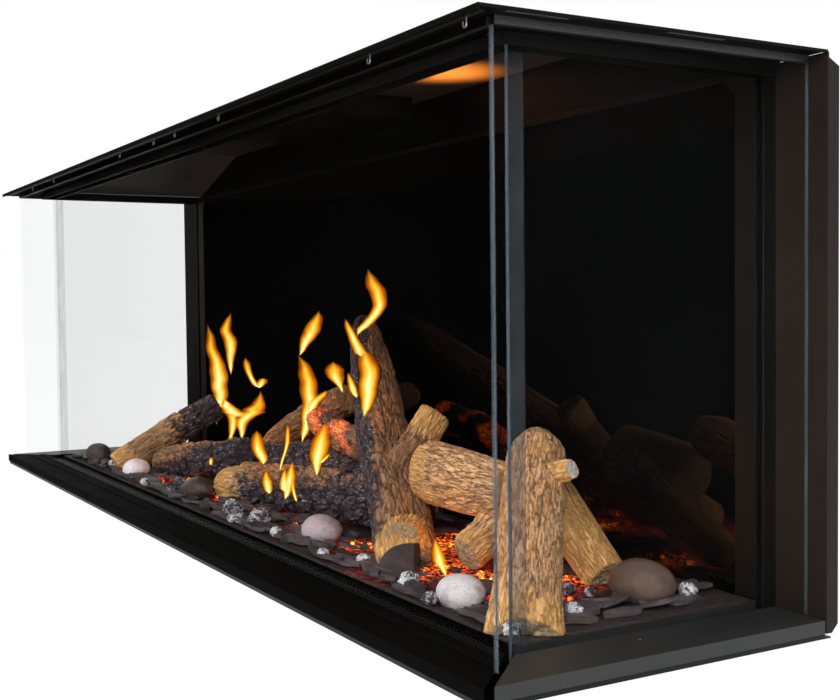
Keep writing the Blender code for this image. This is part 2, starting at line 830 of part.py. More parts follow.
def ring(radius, wall, foot, top, y):
    """Return a round sleeve with a bore."""
    bm = bmesh.new()
    rings = []
    for reach, z in ((radius, foot), (radius + wall, foot), (radius + wall, top), (radius, top)):
        made = []
        for step in range(2 * ROUND_SIDES):
            angle = math.pi * step / ROUND_SIDES
            made.append(bm.verts.new((reach * math.cos(angle), y + reach * math.sin(angle), z)))
        rings.append(made)
    for index, lower in enumerate(rings):
        upper = rings[(index + 1) % len(rings)]
        for step in range(len(lower)):
            after = (step + 1) % len(lower)
            bm.faces.new((lower[step], lower[after], upper[after], upper[step]))
    return bm


def make_flue_collars():
    """Air collar on the roof and the exhaust collar inside it, joined by four webs."""
    y = FRONT_Y + FLUE_INSET
    top = ROOF_TOP + COLLAR_RISE
    foot = ROOF_TOP - COLLAR_BELOW
    outer = piece("outer_flue_collar", ring(AIR_BORE, SHEET, foot, top, y), "galvanised", rounded=True)
    flange = ring(AIR_BORE + SHEET / 2, COLLAR_FLANGE, ROOF_TOP + GAP, ROOF_TOP + GAP + SHEET, y)
    fuse(outer, flange)
    inner = piece("inner_flue_collar", ring(FLUE_BORE, SHEET, foot, top, y), "steel", rounded=True)
    reach = AIR_BORE - 2 * GAP
    start = FLUE_BORE + SHEET / 2
    for turn in range(4):
        spin = Matrix.Rotation(math.pi / 2 * turn, 4, "Z")
        web = box((start, -SHEET / 2, foot), (reach, SHEET / 2, foot + COLLAR_BELOW))
        bmesh.ops.transform(web, matrix=Matrix.Translation((0, y, 0)) @ spin, verts=web.verts)
        fuse(inner, web)


# Glass
def make_inner_panes():
    foot = CHANNEL_FLOOR + GAP
    top = PLATE_UNDER - SHEET - PANE_TOP_ROOM
    front = block_profile(PANE_INSET, GLASS, foot, top)
    room = SIDE_PANE_INSET + GLASS + CORNER_GAP
    side_piece("front_glass", "front", front, room, 0, "glass")
    side = block_profile(SIDE_PANE_INSET, GLASS, foot, top)
    slot_floor = WALL_FRONT - GAP - SHEET
    for name in ("left", "right"):
        side_piece(f"{name}_glass", name, side, PANE_INSET, REAR_Y + GAP - slot_floor, "glass")


def make_corner_seals():
    """Angle strips behind the joint of two inner panes."""
    start_x = SIDE_PANE_INSET + GLASS + GAP
    start_y = PANE_INSET + GLASS + GAP
    foot = CHANNEL_FLOOR + GAP
    top = RAIL_FOOT - GAP
    section = (
        (start_x, start_y),
        (start_x + SEAL_RETURN, start_y),
        (start_x + SEAL_RETURN, start_y + SHEET),
        (start_x + SHEET, start_y + SHEET),
        (start_x + SHEET, start_y + SEAL_LEG),
        (start_x, start_y + SEAL_LEG),
    )
    for side, sign in (("left", -1), ("right", 1)):
        outline = [(sign * (END_X - inset), FRONT_Y + y, foot) for inset, y in section]
        piece(f"{side}_corner_seal", prism(outline, (0, 0, top - foot)), "seal")


def make_screens():
    """Outer panes, each glued in a rail whose outer top edge is its hinge line."""
    foot = SILL_TOP + SCREEN_FOOT_GAP
    rail_foot = SCREEN_TOP + GAP
    rail_top = PLATE_UNDER - GAP
    insets = {"front": SCREEN_INSET, "left": SIDE_SCREEN_INSET, "right": SIDE_SCREEN_INSET}
    for side, inset in insets.items():
        room = SCREEN_INSET + SCREEN_SIDE_LAP
        rail_room = room
        if side == "front":
            room = SIDE_SCREEN_INSET + (SCREEN_RAIL_WIDTH + GLASS) / 2 + GAP
            rail_room = SIDE_SCREEN_INSET + SCREEN_RAIL_WIDTH + GAP
        line = inset - (SCREEN_RAIL_WIDTH - GLASS) / 2
        for name, made_room, profile, look in (
            (f"{side}_screen", room, block_profile(inset, GLASS, foot, SCREEN_TOP), "glass"),
            (
                f"{side}_screen_rail",
                rail_room,
                block_profile(line, SCREEN_RAIL_WIDTH, rail_foot, rail_top),
                "rail",
            ),
        ):
            moved = tuple((at - line, z - rail_top) for at, z in profile)
            location, turn = side_place(side)
            shift = Matrix.Rotation(turn, 4, "Z") @ Vector((0, line, rail_top))
            bm = strip(moved, *side_run(side, made_room, SCREEN_REAR_GAP, False))
            piece(name, bm, look, Vector(location) + shift, turn)


# Burner and gas train
def make_burner():
    half = END_X - TRAY_INSET
    front = FRONT_Y + TRAY_INSET
    rear = REAR_Y - GAP
    rim = FLOOR_TOP + TRAY_HEIGHT
    tray = piece("burner_tray", box((-half, front, FLOOR_TOP), (half, rear, rim)), "black_paint")
    cut(
        tray,
        box(
            (-half + SHEET, front + SHEET, TRAY_FLOOR),
            (half - SHEET, rear - SHEET, rim + OVERRUN),
        ),
    )
    cut(tray, manifold_hole(rear - OVERRUN, rear + OVERRUN))
    front_y = FRONT_Y + BURNER_FRONT_INSET
    rear_y = FRONT_Y + BURNER_REAR_INSET
    radius = (rear_y - front_y) / 2
    centre = Vector((BURNER_HALF_RUN, (front_y + rear_y) / 2, BURNER_Z))
    reach = Vector((radius, 0, 0))
    back = Vector((0, radius, 0))
    bend = arc(centre, -back, reach, BEND_STEPS) + arc(centre, reach, back, BEND_STEPS)[1:]
    start = Vector((-BURNER_HALF_RUN, front_y, BURNER_Z))
    end = Vector((-BURNER_HALF_RUN, rear_y, BURNER_Z))
    points = [start, *bend, end]
    tube = sweep(points, [BURNER_RADIUS] * len(points), BURNER_SIDES)
    piece("burner_tube", tube, "steel", rounded=True)


def make_manifold():
    """Pipe from the underside of the gas valve through the back to the rear run of the burner."""
    x = manifold_x()
    y = CASING_FRONT + GAP + VALVE_SIZE[1] / 2
    end_y = FRONT_Y + BURNER_REAR_INSET + BURNER_RADIUS + GAP
    centre = Vector((x, y - PIPE_BEND, BURNER_Z + PIPE_BEND))
    out = Vector((0, PIPE_BEND, 0))
    down = Vector((0, 0, -PIPE_BEND))
    points = [Vector((x, y, VALVE_FOOT - GAP)), *arc(centre, out, down, BEND_STEPS)]
    points.append(Vector((x, end_y, BURNER_Z)))
    piece(
        "gas_manifold",
        sweep(points, [MANIFOLD_RADIUS] * len(points), BURNER_SIDES),
        "brass",
        rounded=True,
    )


def make_ember_bed():
    """Bed of embers and chips with an uneven top that never rises above the level of the logs."""
    chance = random.Random(BED_SEED)
    half = END_X - TRAY_INSET
    front = FRONT_Y + TRAY_INSET
    rear = REAR_Y - GAP
    bm = bmesh.new()
    bmesh.ops.create_grid(bm, x_segments=BED_CELLS[0], y_segments=BED_CELLS[1], size=1)
    top_faces = list(bm.faces)
    swept = bmesh.ops.extrude_face_region(bm, geom=top_faces)
    upper = {vert for face in top_faces for vert in face.verts}
    under = [item for item in swept["geom"] if isinstance(item, bmesh.types.BMFace)]
    for vert in bm.verts:
        vert.co.x *= half
        vert.co.y = front + (vert.co.y + 1) / 2 * (rear - front)
        vert.co.z = BED_UNDER
        if vert in upper:
            vert.co.z = BED_TOP - chance.random() * BED_DIP
    bmesh.ops.dissolve_faces(bm, faces=under)
    piece("ember_bed", bm, "embers")


def make_pilot():
    x = END_X - PILOT_ALONG
    y = FRONT_Y + PILOT_INSET
    foot = BED_TOP + GAP
    long_half = PILOT_BASE[0] / 2
    wide_half = PILOT_BASE[1] / 2
    top = foot + PILOT_BASE[2]
    base = box((x - long_half, y - wide_half, foot), (x + long_half, y + wide_half, top))
    pilot = piece("pilot_burner", base, "steel")
    under = foot + PILOT_BASE[2] / 2
    fuse(pilot, cylinder(PILOT_TUBE_RADIUS, (x, y, under), (x, y, under + PILOT_TUBE_HEIGHT), BURNER_SIDES))
    for side in (-1, 1):
        at = x + side * PILOT_ROD_SPACING
        fuse(pilot, cylinder(PILOT_ROD_RADIUS, (at, y, under), (at, y, under + PILOT_ROD_HEIGHT), HOOK_SIDES))


def make_casing():
    """Casing on the back wall, open towards it, with an opening for the service door."""
    half = CASING_HALF_LENGTH
    outer = box((-half, CASING_FRONT, CASING_FOOT), (half, CASING_BACK, CASING_TOP))
    casing = piece("rear_casing", outer, "galvanised")
    inner = box(
        (-half + SHEET, CASING_FRONT - OVERRUN, CASING_FOOT + SHEET),
        (half - SHEET, CASING_BACK - SHEET, CASING_TOP - SHEET),
    )
    cut(casing, inner)
    wide = DOOR_OPENING[0] / 2
    foot = DOOR_OPENING_FOOT
    cut(
        casing,
        box(
            (-wide, CASING_BACK - OVERRUN, foot),
            (wide, CASING_BACK + OVERRUN, foot + DOOR_OPENING[1]),
        ),
    )
    _, y, z = inlet_line()
    cut(casing, cylinder(INLET_RADIUS + GAP, (half - OVERRUN, y, z), (half + OVERRUN, y, z)))


def make_service_door():
    """Door over the opening, with a hinge barrel at its left edge."""
    left = -DOOR_OPENING[0] / 2 - DOOR_LAP
    width = DOOR_OPENING[0] + 2 * DOOR_LAP
    height = DOOR_OPENING[1] + 2 * DOOR_LAP
    foot = DOOR_OPENING_FOOT - DOOR_LAP
    axis = (left, CASING_BACK + GAP + HINGE_RADIUS, foot)
    plate = box((0, -HINGE_RADIUS, 0), (width, SHEET - HINGE_RADIUS, height))
    door = piece("service_door", plate, "galvanised", location=axis)
    fuse(door, cylinder(HINGE_RADIUS, (0, 0, 0), (0, 0, height), HINGE_SIDES))
    latch_x = latch_place()[0] - left
    hole = LATCH_SHAFT_RADIUS + GAP
    cut(door, cylinder(hole, (latch_x, -OVERRUN, height / 2), (latch_x, OVERRUN, height / 2)))


def latch_place():
    x = DOOR_OPENING[0] / 2 - LATCH_EDGE_ROOM
    z = DOOR_OPENING_FOOT + DOOR_OPENING[1] / 2
    return (x, CASING_BACK + GAP, z)


def make_door_latch():
    """Quarter-turn latch, at rest with its tongue upright and clear of the casing."""
    outer = SHEET + GAP
    inner = -SHEET - 2 * GAP
    width, thick, length = LATCH_TONGUE
    knob = cylinder(LATCH_KNOB_RADIUS, (0, outer, 0), (0, outer + LATCH_KNOB_LENGTH, 0))
    latch = piece("door_latch", knob, "plastic", location=latch_place(), rounded=True)
    fuse(latch, cylinder(LATCH_SHAFT_RADIUS, (0, inner - thick / 2, 0), (0, outer + thick, 0)))
    fuse(latch, box((-width / 2, inner - thick, -width / 2), (width / 2, inner, length)))


def valve_corner():
    """Left, front and lower corner of the gas valve."""
    return (VALVE_RIGHT - VALVE_SIZE[0], CASING_FRONT + GAP, VALVE_FOOT)


def inlet_line():
    """A point on the line of the gas inlet: the valve's right face, and its middle."""
    _, front, foot = valve_corner()
    return (VALVE_RIGHT, front + VALVE_SIZE[1] / 2, foot + VALVE_SIZE[2] / 2)


def make_gas_valve():
    left, front, foot = valve_corner()
    high = (VALVE_RIGHT, front + VALVE_SIZE[1], foot + VALVE_SIZE[2])
    piece("gas_valve", box((left, front, foot), high), "steel")
    knob_at = ((left + VALVE_RIGHT) / 2, high[1] + GAP, (foot + high[2]) / 2)
    knob = cylinder(KNOB_RADIUS, (0, 0, 0), (0, KNOB_LENGTH, 0))
    turned = piece("valve_knob", knob, "plastic", location=knob_at, rounded=True)
    grip_wide, grip_high = KNOB_GRIP
    grip = box(
        (-grip_wide / 2, KNOB_LENGTH / 2, -KNOB_RADIUS),
        (grip_wide / 2, KNOB_LENGTH + grip_high, KNOB_RADIUS),
    )
    fuse(turned, grip)


def make_shutoff():
    """Ball valve on the inlet pipe, with a lever that turns a quarter turn."""
    _, y, z = inlet_line()
    start = VALVE_RIGHT + GAP
    end = CASING_HALF_LENGTH + INLET_STUB
    body = cylinder(SHUTOFF_RADIUS, (start, y, z), (start + SHUTOFF_LENGTH, y, z))
    valve = piece("shutoff_valve", body, "brass", rounded=True)
    fuse(valve, cylinder(INLET_RADIUS, (start + SHUTOFF_LENGTH / 2, y, z), (end, y, z)))
    stem_x = start + SHUTOFF_LENGTH * SHUTOFF_STEM_SHARE
    length, thick, wide = LEVER_SIZE
    boss = cylinder(LEVER_BOSS_RADIUS, (0, 0, 0), (0, LEVER_BOSS_LENGTH, 0))
    place = (stem_x, y + SHUTOFF_RADIUS + GAP, z)
    lever = piece("shutoff_lever", boss, "lever", location=place, rounded=True)
    arm = box(
        (0, LEVER_BOSS_LENGTH - thick, -wide / 2),
        (length, LEVER_BOSS_LENGTH, wide / 2),
    )
    fuse(lever, arm)


# Logs and pebbles
def bed_place(along, inset, rise):
    """A point over the bed from shares of the window's length, depth and height."""
    z = BED_TOP + (rise - BED_LEVEL_SHARE) * HEIGHT
    return Vector((END_X - along * LENGTH, FRONT_Y + inset * DEPTH, z))


def log_line(name):
    """Points and radii along a log."""
    _, path, girths = LOG_SHARES[name]
    points = curve_through([bed_place(*place) for place in path], LOG_RINGS_PER_LEG)
    flat = curve_through([Vector((share, 0, 0)) for share in girths], LOG_RINGS_PER_LEG)
    radii = [LOG_GIRTH_SHARES[name] * HEIGHT * item.x for item in flat]
    return points, radii


def log_solid(name, swell):
    """Return a log with lumps and lengthwise ridges, or a copy of it that is larger all round."""
    points, radii = log_line(name)
    chance = random.Random(name)
    ridges = [1 + chance.uniform(-RIDGE_SHARE, RIDGE_SHARE) for _ in range(LOG_SIDES)]
    shares = []
    for index, radius in enumerate(radii):
        end = END_SHARE if index in (0, len(radii) - 1) else 1
        made = [end * ridge * (1 + chance.uniform(-LUMP_SHARE, LUMP_SHARE)) for ridge in ridges]
        shares.append([share + swell / radius for share in made])
    points[0] = points[0] + (points[0] - points[1]).normalized() * swell
    points[-1] = points[-1] + (points[-1] - points[-2]).normalized() * swell
    bm = sweep(points, radii, LOG_SIDES, shares)
    quads = [face for face in bm.faces if len(face.verts) == 4]
    bmesh.ops.triangulate(bm, faces=quads, quad_method="FIXED")
    return bm


def branch_solid(name, swell):
    """Return the branch stub of a log, or a larger copy of it."""
    along, arm, girth, reach = BRANCH_SHARES[name]
    points, radii = log_line(name)
    index = round(along * (len(points) - 1))
    start = points[index]
    end = start + Vector(arm).normalized() * (radii[index] + reach * HEIGHT + swell)
    return cylinder(girth * HEIGHT + swell, start, end, BRANCH_SIDES)


def make_log(name):
    look = LOG_SHARES[name][0]
    log = piece(name, log_solid(name, 0), look, rounded=True)
    if name in BRANCH_SHARES:
        fuse(log, branch_solid(name, 0))
    low = (-END_X, FRONT_Y, -HEIGHT)
    high = (END_X, REAR_Y, BED_TOP + GAP)
    cut(log, box(low, high))
    for other in LOG_NEIGHBOURS.get(name, ()):
        cut(log, log_solid(other, LOG_CLEARANCE))
        if other in BRANCH_SHARES:
            cut(log, branch_solid(other, LOG_CLEARANCE))


def make_pebble(name):
    """Flattened stone that stands on the bed on a flat foot."""
    look, (along, inset) = PEBBLE_SHARES[name]
    wide, deep, high = PEBBLE_SIZES[name]
    foot = BED_TOP + GAP
    x, y, _ = bed_place(along, inset, 0)
    bm = bmesh.new()
    bmesh.ops.create_uvsphere(bm, u_segments=PEBBLE_SEGMENTS, v_segments=PEBBLE_RINGS, radius=1)
    stone = piece(name, bm, look, location=(x, y, foot), rounded=True)
    for vert in stone.data.vertices:
        vert.co = (vert.co.x * wide, vert.co.y * deep, max(vert.co.z * high + high * PEBBLE_SIT_SHARE, 0))


def main():
    clear_scene()
    make_base_pan()
    make_sills()
    make_top_channels()
    make_top_plate()
    make_hook_strip()
    make_rear_panels()
    make_side_channels()
    make_rear_frame()
    make_back_liner()
    make_hood()
    make_rear_wall()
    make_baffle()
    make_flue_collars()
    make_inner_panes()
    make_corner_seals()
    make_screens()
    make_burner()
    make_manifold()
    make_ember_bed()
    make_pilot()
    make_casing()
    make_service_door()
    make_door_latch()
    make_gas_valve()
    make_shutoff()
    for name in LOG_SHARES:
        make_log(name)
    for name in PEBBLE_SHARES:
        make_pebble(name)


main()
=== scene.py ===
"""Looks of a three-sided gas fire: dressed steel and glass, ceramic logs, embers, stones and flames.

Lengths are in metres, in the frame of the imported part: X along the window, Y to the back, Z up.
"""

import json
import logging
import math
import random
from collections.abc import Callable
from dataclasses import dataclass
from enum import Enum

import bmesh
import bpy
import numpy as np
from mathutils import Matrix, Vector, noise

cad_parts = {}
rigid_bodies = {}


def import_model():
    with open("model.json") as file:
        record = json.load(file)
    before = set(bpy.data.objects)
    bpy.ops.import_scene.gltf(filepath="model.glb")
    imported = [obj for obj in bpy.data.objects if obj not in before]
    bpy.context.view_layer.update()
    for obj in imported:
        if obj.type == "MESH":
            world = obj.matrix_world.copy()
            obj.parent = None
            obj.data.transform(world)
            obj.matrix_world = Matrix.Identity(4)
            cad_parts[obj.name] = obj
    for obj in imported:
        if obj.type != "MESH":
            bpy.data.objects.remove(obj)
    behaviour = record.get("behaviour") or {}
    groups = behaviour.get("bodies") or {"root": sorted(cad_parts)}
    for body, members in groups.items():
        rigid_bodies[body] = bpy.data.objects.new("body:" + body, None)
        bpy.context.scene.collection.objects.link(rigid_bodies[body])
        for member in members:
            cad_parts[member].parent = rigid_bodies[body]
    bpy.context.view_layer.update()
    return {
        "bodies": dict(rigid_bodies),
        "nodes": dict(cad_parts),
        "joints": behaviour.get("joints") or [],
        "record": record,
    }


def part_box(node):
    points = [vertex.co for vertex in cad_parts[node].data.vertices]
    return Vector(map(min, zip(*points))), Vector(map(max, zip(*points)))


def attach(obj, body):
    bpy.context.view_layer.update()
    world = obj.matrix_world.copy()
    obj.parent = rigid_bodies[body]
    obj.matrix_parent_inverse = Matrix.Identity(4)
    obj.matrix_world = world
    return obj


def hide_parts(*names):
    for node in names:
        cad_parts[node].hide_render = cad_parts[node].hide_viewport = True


log = logging.getLogger("fire")

Colour = tuple[float, float, float]
Point = tuple[float, float, float]
Socket = bpy.types.NodeSocket
Piece = bpy.types.Object
Material = bpy.types.Material

BED_TOP = 0.0193


# Small helpers for modelling
def deselect() -> None:
    """Leave nothing selected and nothing active."""
    bpy.ops.object.select_all(action="DESELECT")
    bpy.context.view_layer.objects.active = None


def activate(piece: Piece) -> None:
    """Make one piece the only selected one, and the active one.

    Args:
        piece: the piece.
    """
    deselect()
    piece.select_set(True)
    bpy.context.view_layer.objects.active = piece


class Part(Enum):
    """What a test selects in edit mode."""

    FACE = "FACE"
    EDGE = "EDGE"


def pick(piece: Piece, kind: Part, wanted: Callable[[object], bool]) -> None:
    """Select the faces or the edges that a test wants.

    Args:
        piece: the object in edit mode.
        kind: what is selected.
        wanted: a function from a bmesh face or edge to True or False.
    """
    bpy.ops.mesh.select_mode(type=kind.value)
    bpy.ops.mesh.select_all(action="DESELECT")
    mesh = bmesh.from_edit_mesh(piece.data)
    for part in mesh.faces if kind is Part.FACE else mesh.edges:
        if wanted(part):
            part.select_set(True)
    bmesh.update_edit_mesh(piece.data)


def fine_cube(name: str, cuts: int) -> Piece:
    """Model a cube from -1 to 1 with even cuts along its edges.

    Args:
        name: the object's name.
        cuts: cuts along each edge.

    Returns:
        The cube, ready for its vertices to be moved.
    """
    deselect()
    bpy.ops.mesh.primitive_cube_add(size=2)
    cube = bpy.context.object
    cube.name = name
    bpy.ops.object.mode_set(mode="EDIT")
    bpy.ops.mesh.select_all(action="SELECT")
    bpy.ops.mesh.subdivide(number_cuts=cuts)
    bpy.ops.object.mode_set(mode="OBJECT")
    return cube


def ball(name: str, level: int) -> Piece:
    """Add a ball of radius 1, whose vertices are then moved.

    Args:
        name: the object's name.
        level: how finely it is divided.

    Returns:
        The ball.
    """
    deselect()
    bpy.ops.mesh.primitive_ico_sphere_add(subdivisions=level, radius=1)
    bpy.context.object.name = name
    return bpy.context.object


def unit_tube(name: str, sides: int, coarse: int, fine: int, cap_rings: int) -> Piece:
    """Model a closed tube of radius 1 and height 1 with rings along it and in its caps.

    Args:
        name: the object's name.
        sides: number of sides.
        coarse: cuts of the first pass along the tube.
        fine: cuts of the second pass between them.
        cap_rings: rings in each cap.

    Returns:
        The tube, ready for its vertices to be moved onto a path.
    """
    deselect()
    bpy.ops.mesh.primitive_cylinder_add(vertices=sides, radius=1, depth=1, end_fill_type="NGON")
    tube = bpy.context.object
    tube.name = name
    bpy.ops.object.mode_set(mode="EDIT")
    pick(tube, Part.FACE, lambda face: abs(face.normal.z) > 0.9)
    for _ in range(cap_rings):
        bpy.ops.mesh.inset(thickness=1 / (cap_rings + 1))
    bpy.ops.mesh.poke()
    for cuts in (coarse, fine):
        if cuts:
            pick(tube, Part.EDGE, lambda edge: abs(edge.verts[0].co.z - edge.verts[1].co.z) > 1e-5)
            bpy.ops.mesh.subdivide(number_cuts=cuts)
    bpy.ops.object.mode_set(mode="OBJECT")
    return tube


def get_points(piece: Piece) -> np.ndarray:
    """Read the vertices of a piece.

    Args:
        piece: the piece.

    Returns:
        One row for each vertex.
    """
    rows = np.empty(len(piece.data.vertices) * 3, np.float32)
    piece.data.vertices.foreach_get("co", rows)
    return rows.reshape(-1, 3).astype(float)


def set_points(piece: Piece, rows: np.ndarray) -> None:
    """Move the vertices of a piece to the given rows."""
    piece.data.vertices.foreach_set("co", rows.astype(np.float32).ravel())
    piece.data.update()


def keep_values(piece: Piece, name: str, values: np.ndarray) -> None:
    """Store one number or one vector for each vertex, for the finish to read.

    Args:
        piece: the piece.
        name: the attribute's name.
        values: a number or a row for each vertex.
    """
    vector = values.ndim == 2
    made = piece.data.attributes.new(name, "FLOAT_VECTOR" if vector else "FLOAT", "POINT")
    made.data.foreach_set("vector" if vector else "value", values.astype(np.float32).ravel())


def smooth(piece: Piece, angle: float = math.pi) -> None:
    """Shade a piece smooth.

    Args:
        piece: the piece.
        angle: the least angle of the edges that stay sharp.
    """
    activate(piece)
    if angle == math.pi:
        bpy.ops.object.shade_smooth()
    else:
        bpy.ops.object.shade_smooth_by_angle(angle=angle)


def bevel(piece: Piece, width: float, segments: int, angle: float) -> None:
    """Round the sharp edges of a piece.

    Args:
        piece: the piece.
        width: how far the bevel reaches.
        segments: its steps.
        angle: the least angle of the edges that it takes.
    """
    activate(piece)
    bpy.ops.object.modifier_add(type="BEVEL")
    edge = piece.modifiers[-1]
    edge.width, edge.segments, edge.angle_limit = width, segments, angle
    bpy.ops.object.modifier_apply(modifier=edge.name)


def put_finish(piece: Piece, finish: Material) -> None:
    """Give a whole piece one finish.

    Args:
        piece: the piece.
        finish: its material.
    """
    if not piece.material_slots:
        piece.data.materials.append(finish)
    for slot in piece.material_slots:
        slot.material = finish


def hand_over(piece: Piece, finish: Material | None, node: str = "") -> None:
    """Dress a finished piece, attach it to the frame and hide the CAD node that it stands for.

    Args:
        piece: the piece.
        finish: its material, or None where its faces have theirs.
        node: the CAD node that it takes the place of.
    """
    if finish:
        put_finish(piece, finish)
    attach(piece, "frame")
    if node:
        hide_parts(node)
    log.info("built %s with %d faces", piece.name, len(piece.data.polygons))


def join(name: str, pieces: list[Piece]) -> Piece:
    """Join copies of one kind into one piece.

    Args:
        name: the joined piece's name.
        pieces: the copies.

    Returns:
        The joined piece.
    """
    deselect()
    for piece in pieces:
        piece.select_set(True)
    bpy.context.view_layer.objects.active = pieces[0]
    bpy.ops.object.join()
    pieces[0].name = name
    return pieces[0]


def copy_at(source: Piece, place: Matrix) -> Piece:
    """Copy a piece with its own mesh.

    Args:
        source: the piece to copy.
        place: where its mesh goes.

    Returns:
        The copy.
    """
    made = source.copy()
    made.data = source.data.copy()
    made.data.transform(place)
    bpy.context.scene.collection.objects.link(made)
    return made


def wander(points: np.ndarray, scale: tuple, shift: float = 0.0) -> np.ndarray:
    """Return smooth noise from -1 to 1 at each point, with a scale along each axis."""
    placed = points * np.array(scale) + shift
    return np.array([noise.noise(Vector(row)) for row in placed])


def cells(points: np.ndarray, scale: tuple, shift: float = 0.0) -> tuple[np.ndarray, np.ndarray]:
    """Read a cell pattern at each point.

    Args:
        points: one row for each point.
        scale: cells for each metre along each axis.
        shift: where the pattern starts.

    Returns:
        How far each point is from its cell's border, and a value for its cell.
    """
    border, kind = np.empty(len(points)), np.empty(len(points))
    for index, row in enumerate(points * np.array(scale) + shift):
        far, seeds = noise.voronoi(Vector(row))
        border[index] = far[1] - far[0]
        kind[index] = noise.cell(seeds[0] * 7.3)
    return border, kind


def discard(shapes: list[Piece]) -> None:
    """Remove the shapes that copies were made from."""
    for shape in shapes:
        bpy.data.objects.remove(shape)


def toned(colour: Colour, factor: float, lift: float = 0.0) -> Colour:
    """Return a darker or a paler colour."""
    return tuple(part * factor + lift for part in colour)


def ease(low: float, high: float, values: np.ndarray) -> np.ndarray:
    """Return a smooth step from 0 at low to 1 at high."""
    share = np.clip((values - low) / (high - low), 0, 1)
    return share * share * (3 - 2 * share)


class Path:
    """A smooth line through points, with a frame that doesn't twist along it."""

    STEPS = 24

    def __init__(self, points: list[Vector]) -> None:
        """Sample the line through the given points.

        Args:
            points: the points that the line runs through.
        """
        ends = [2 * points[0] - points[1], *points, 2 * points[-1] - points[-2]]
        line = []
        for leg in range(len(points) - 1):
            a, b, c, d = ends[leg : leg + 4]
            for step in range(self.STEPS):
                t = step / self.STEPS
                square, cube = t * t, t * t * t
                line.append(
                    (2 * b + (c - a) * t + (2 * a - 5 * b + 4 * c - d) * square) / 2
                    + (3 * b - a - 3 * c + d) * cube / 2
                )
        line.append(points[-1])
        self.line = np.array([tuple(point) for point in line])
        steps = np.linalg.norm(np.diff(self.line, axis=0), axis=1)
        self.length = float(steps.sum())
        self.share = np.concatenate(([0.0], np.cumsum(steps))) / self.length
        along, side, across = [], [], []
        tangent = Vector(self.line[1] - self.line[0]).normalized()
        edge = tangent.orthogonal().normalized()
        for index in range(len(line)):
            before, after = self.line[max(index - 1, 0)], self.line[min(index + 1, len(line) - 1)]
            turned = Vector(after - before).normalized()
            edge = tangent.rotation_difference(turned) @ edge
            tangent = turned
            along.append(tuple(tangent))
            side.append(tuple(edge))
            across.append(tuple(tangent.cross(edge)))
        self.along, self.side, self.across = map(np.array, (along, side, across))

    def read(self, rows: np.ndarray, at: np.ndarray) -> np.ndarray:
        """Return rows of the line's samples at shares of its length."""
        return np.stack([np.interp(at, self.share, rows[:, axis]) for axis in range(3)], axis=1)


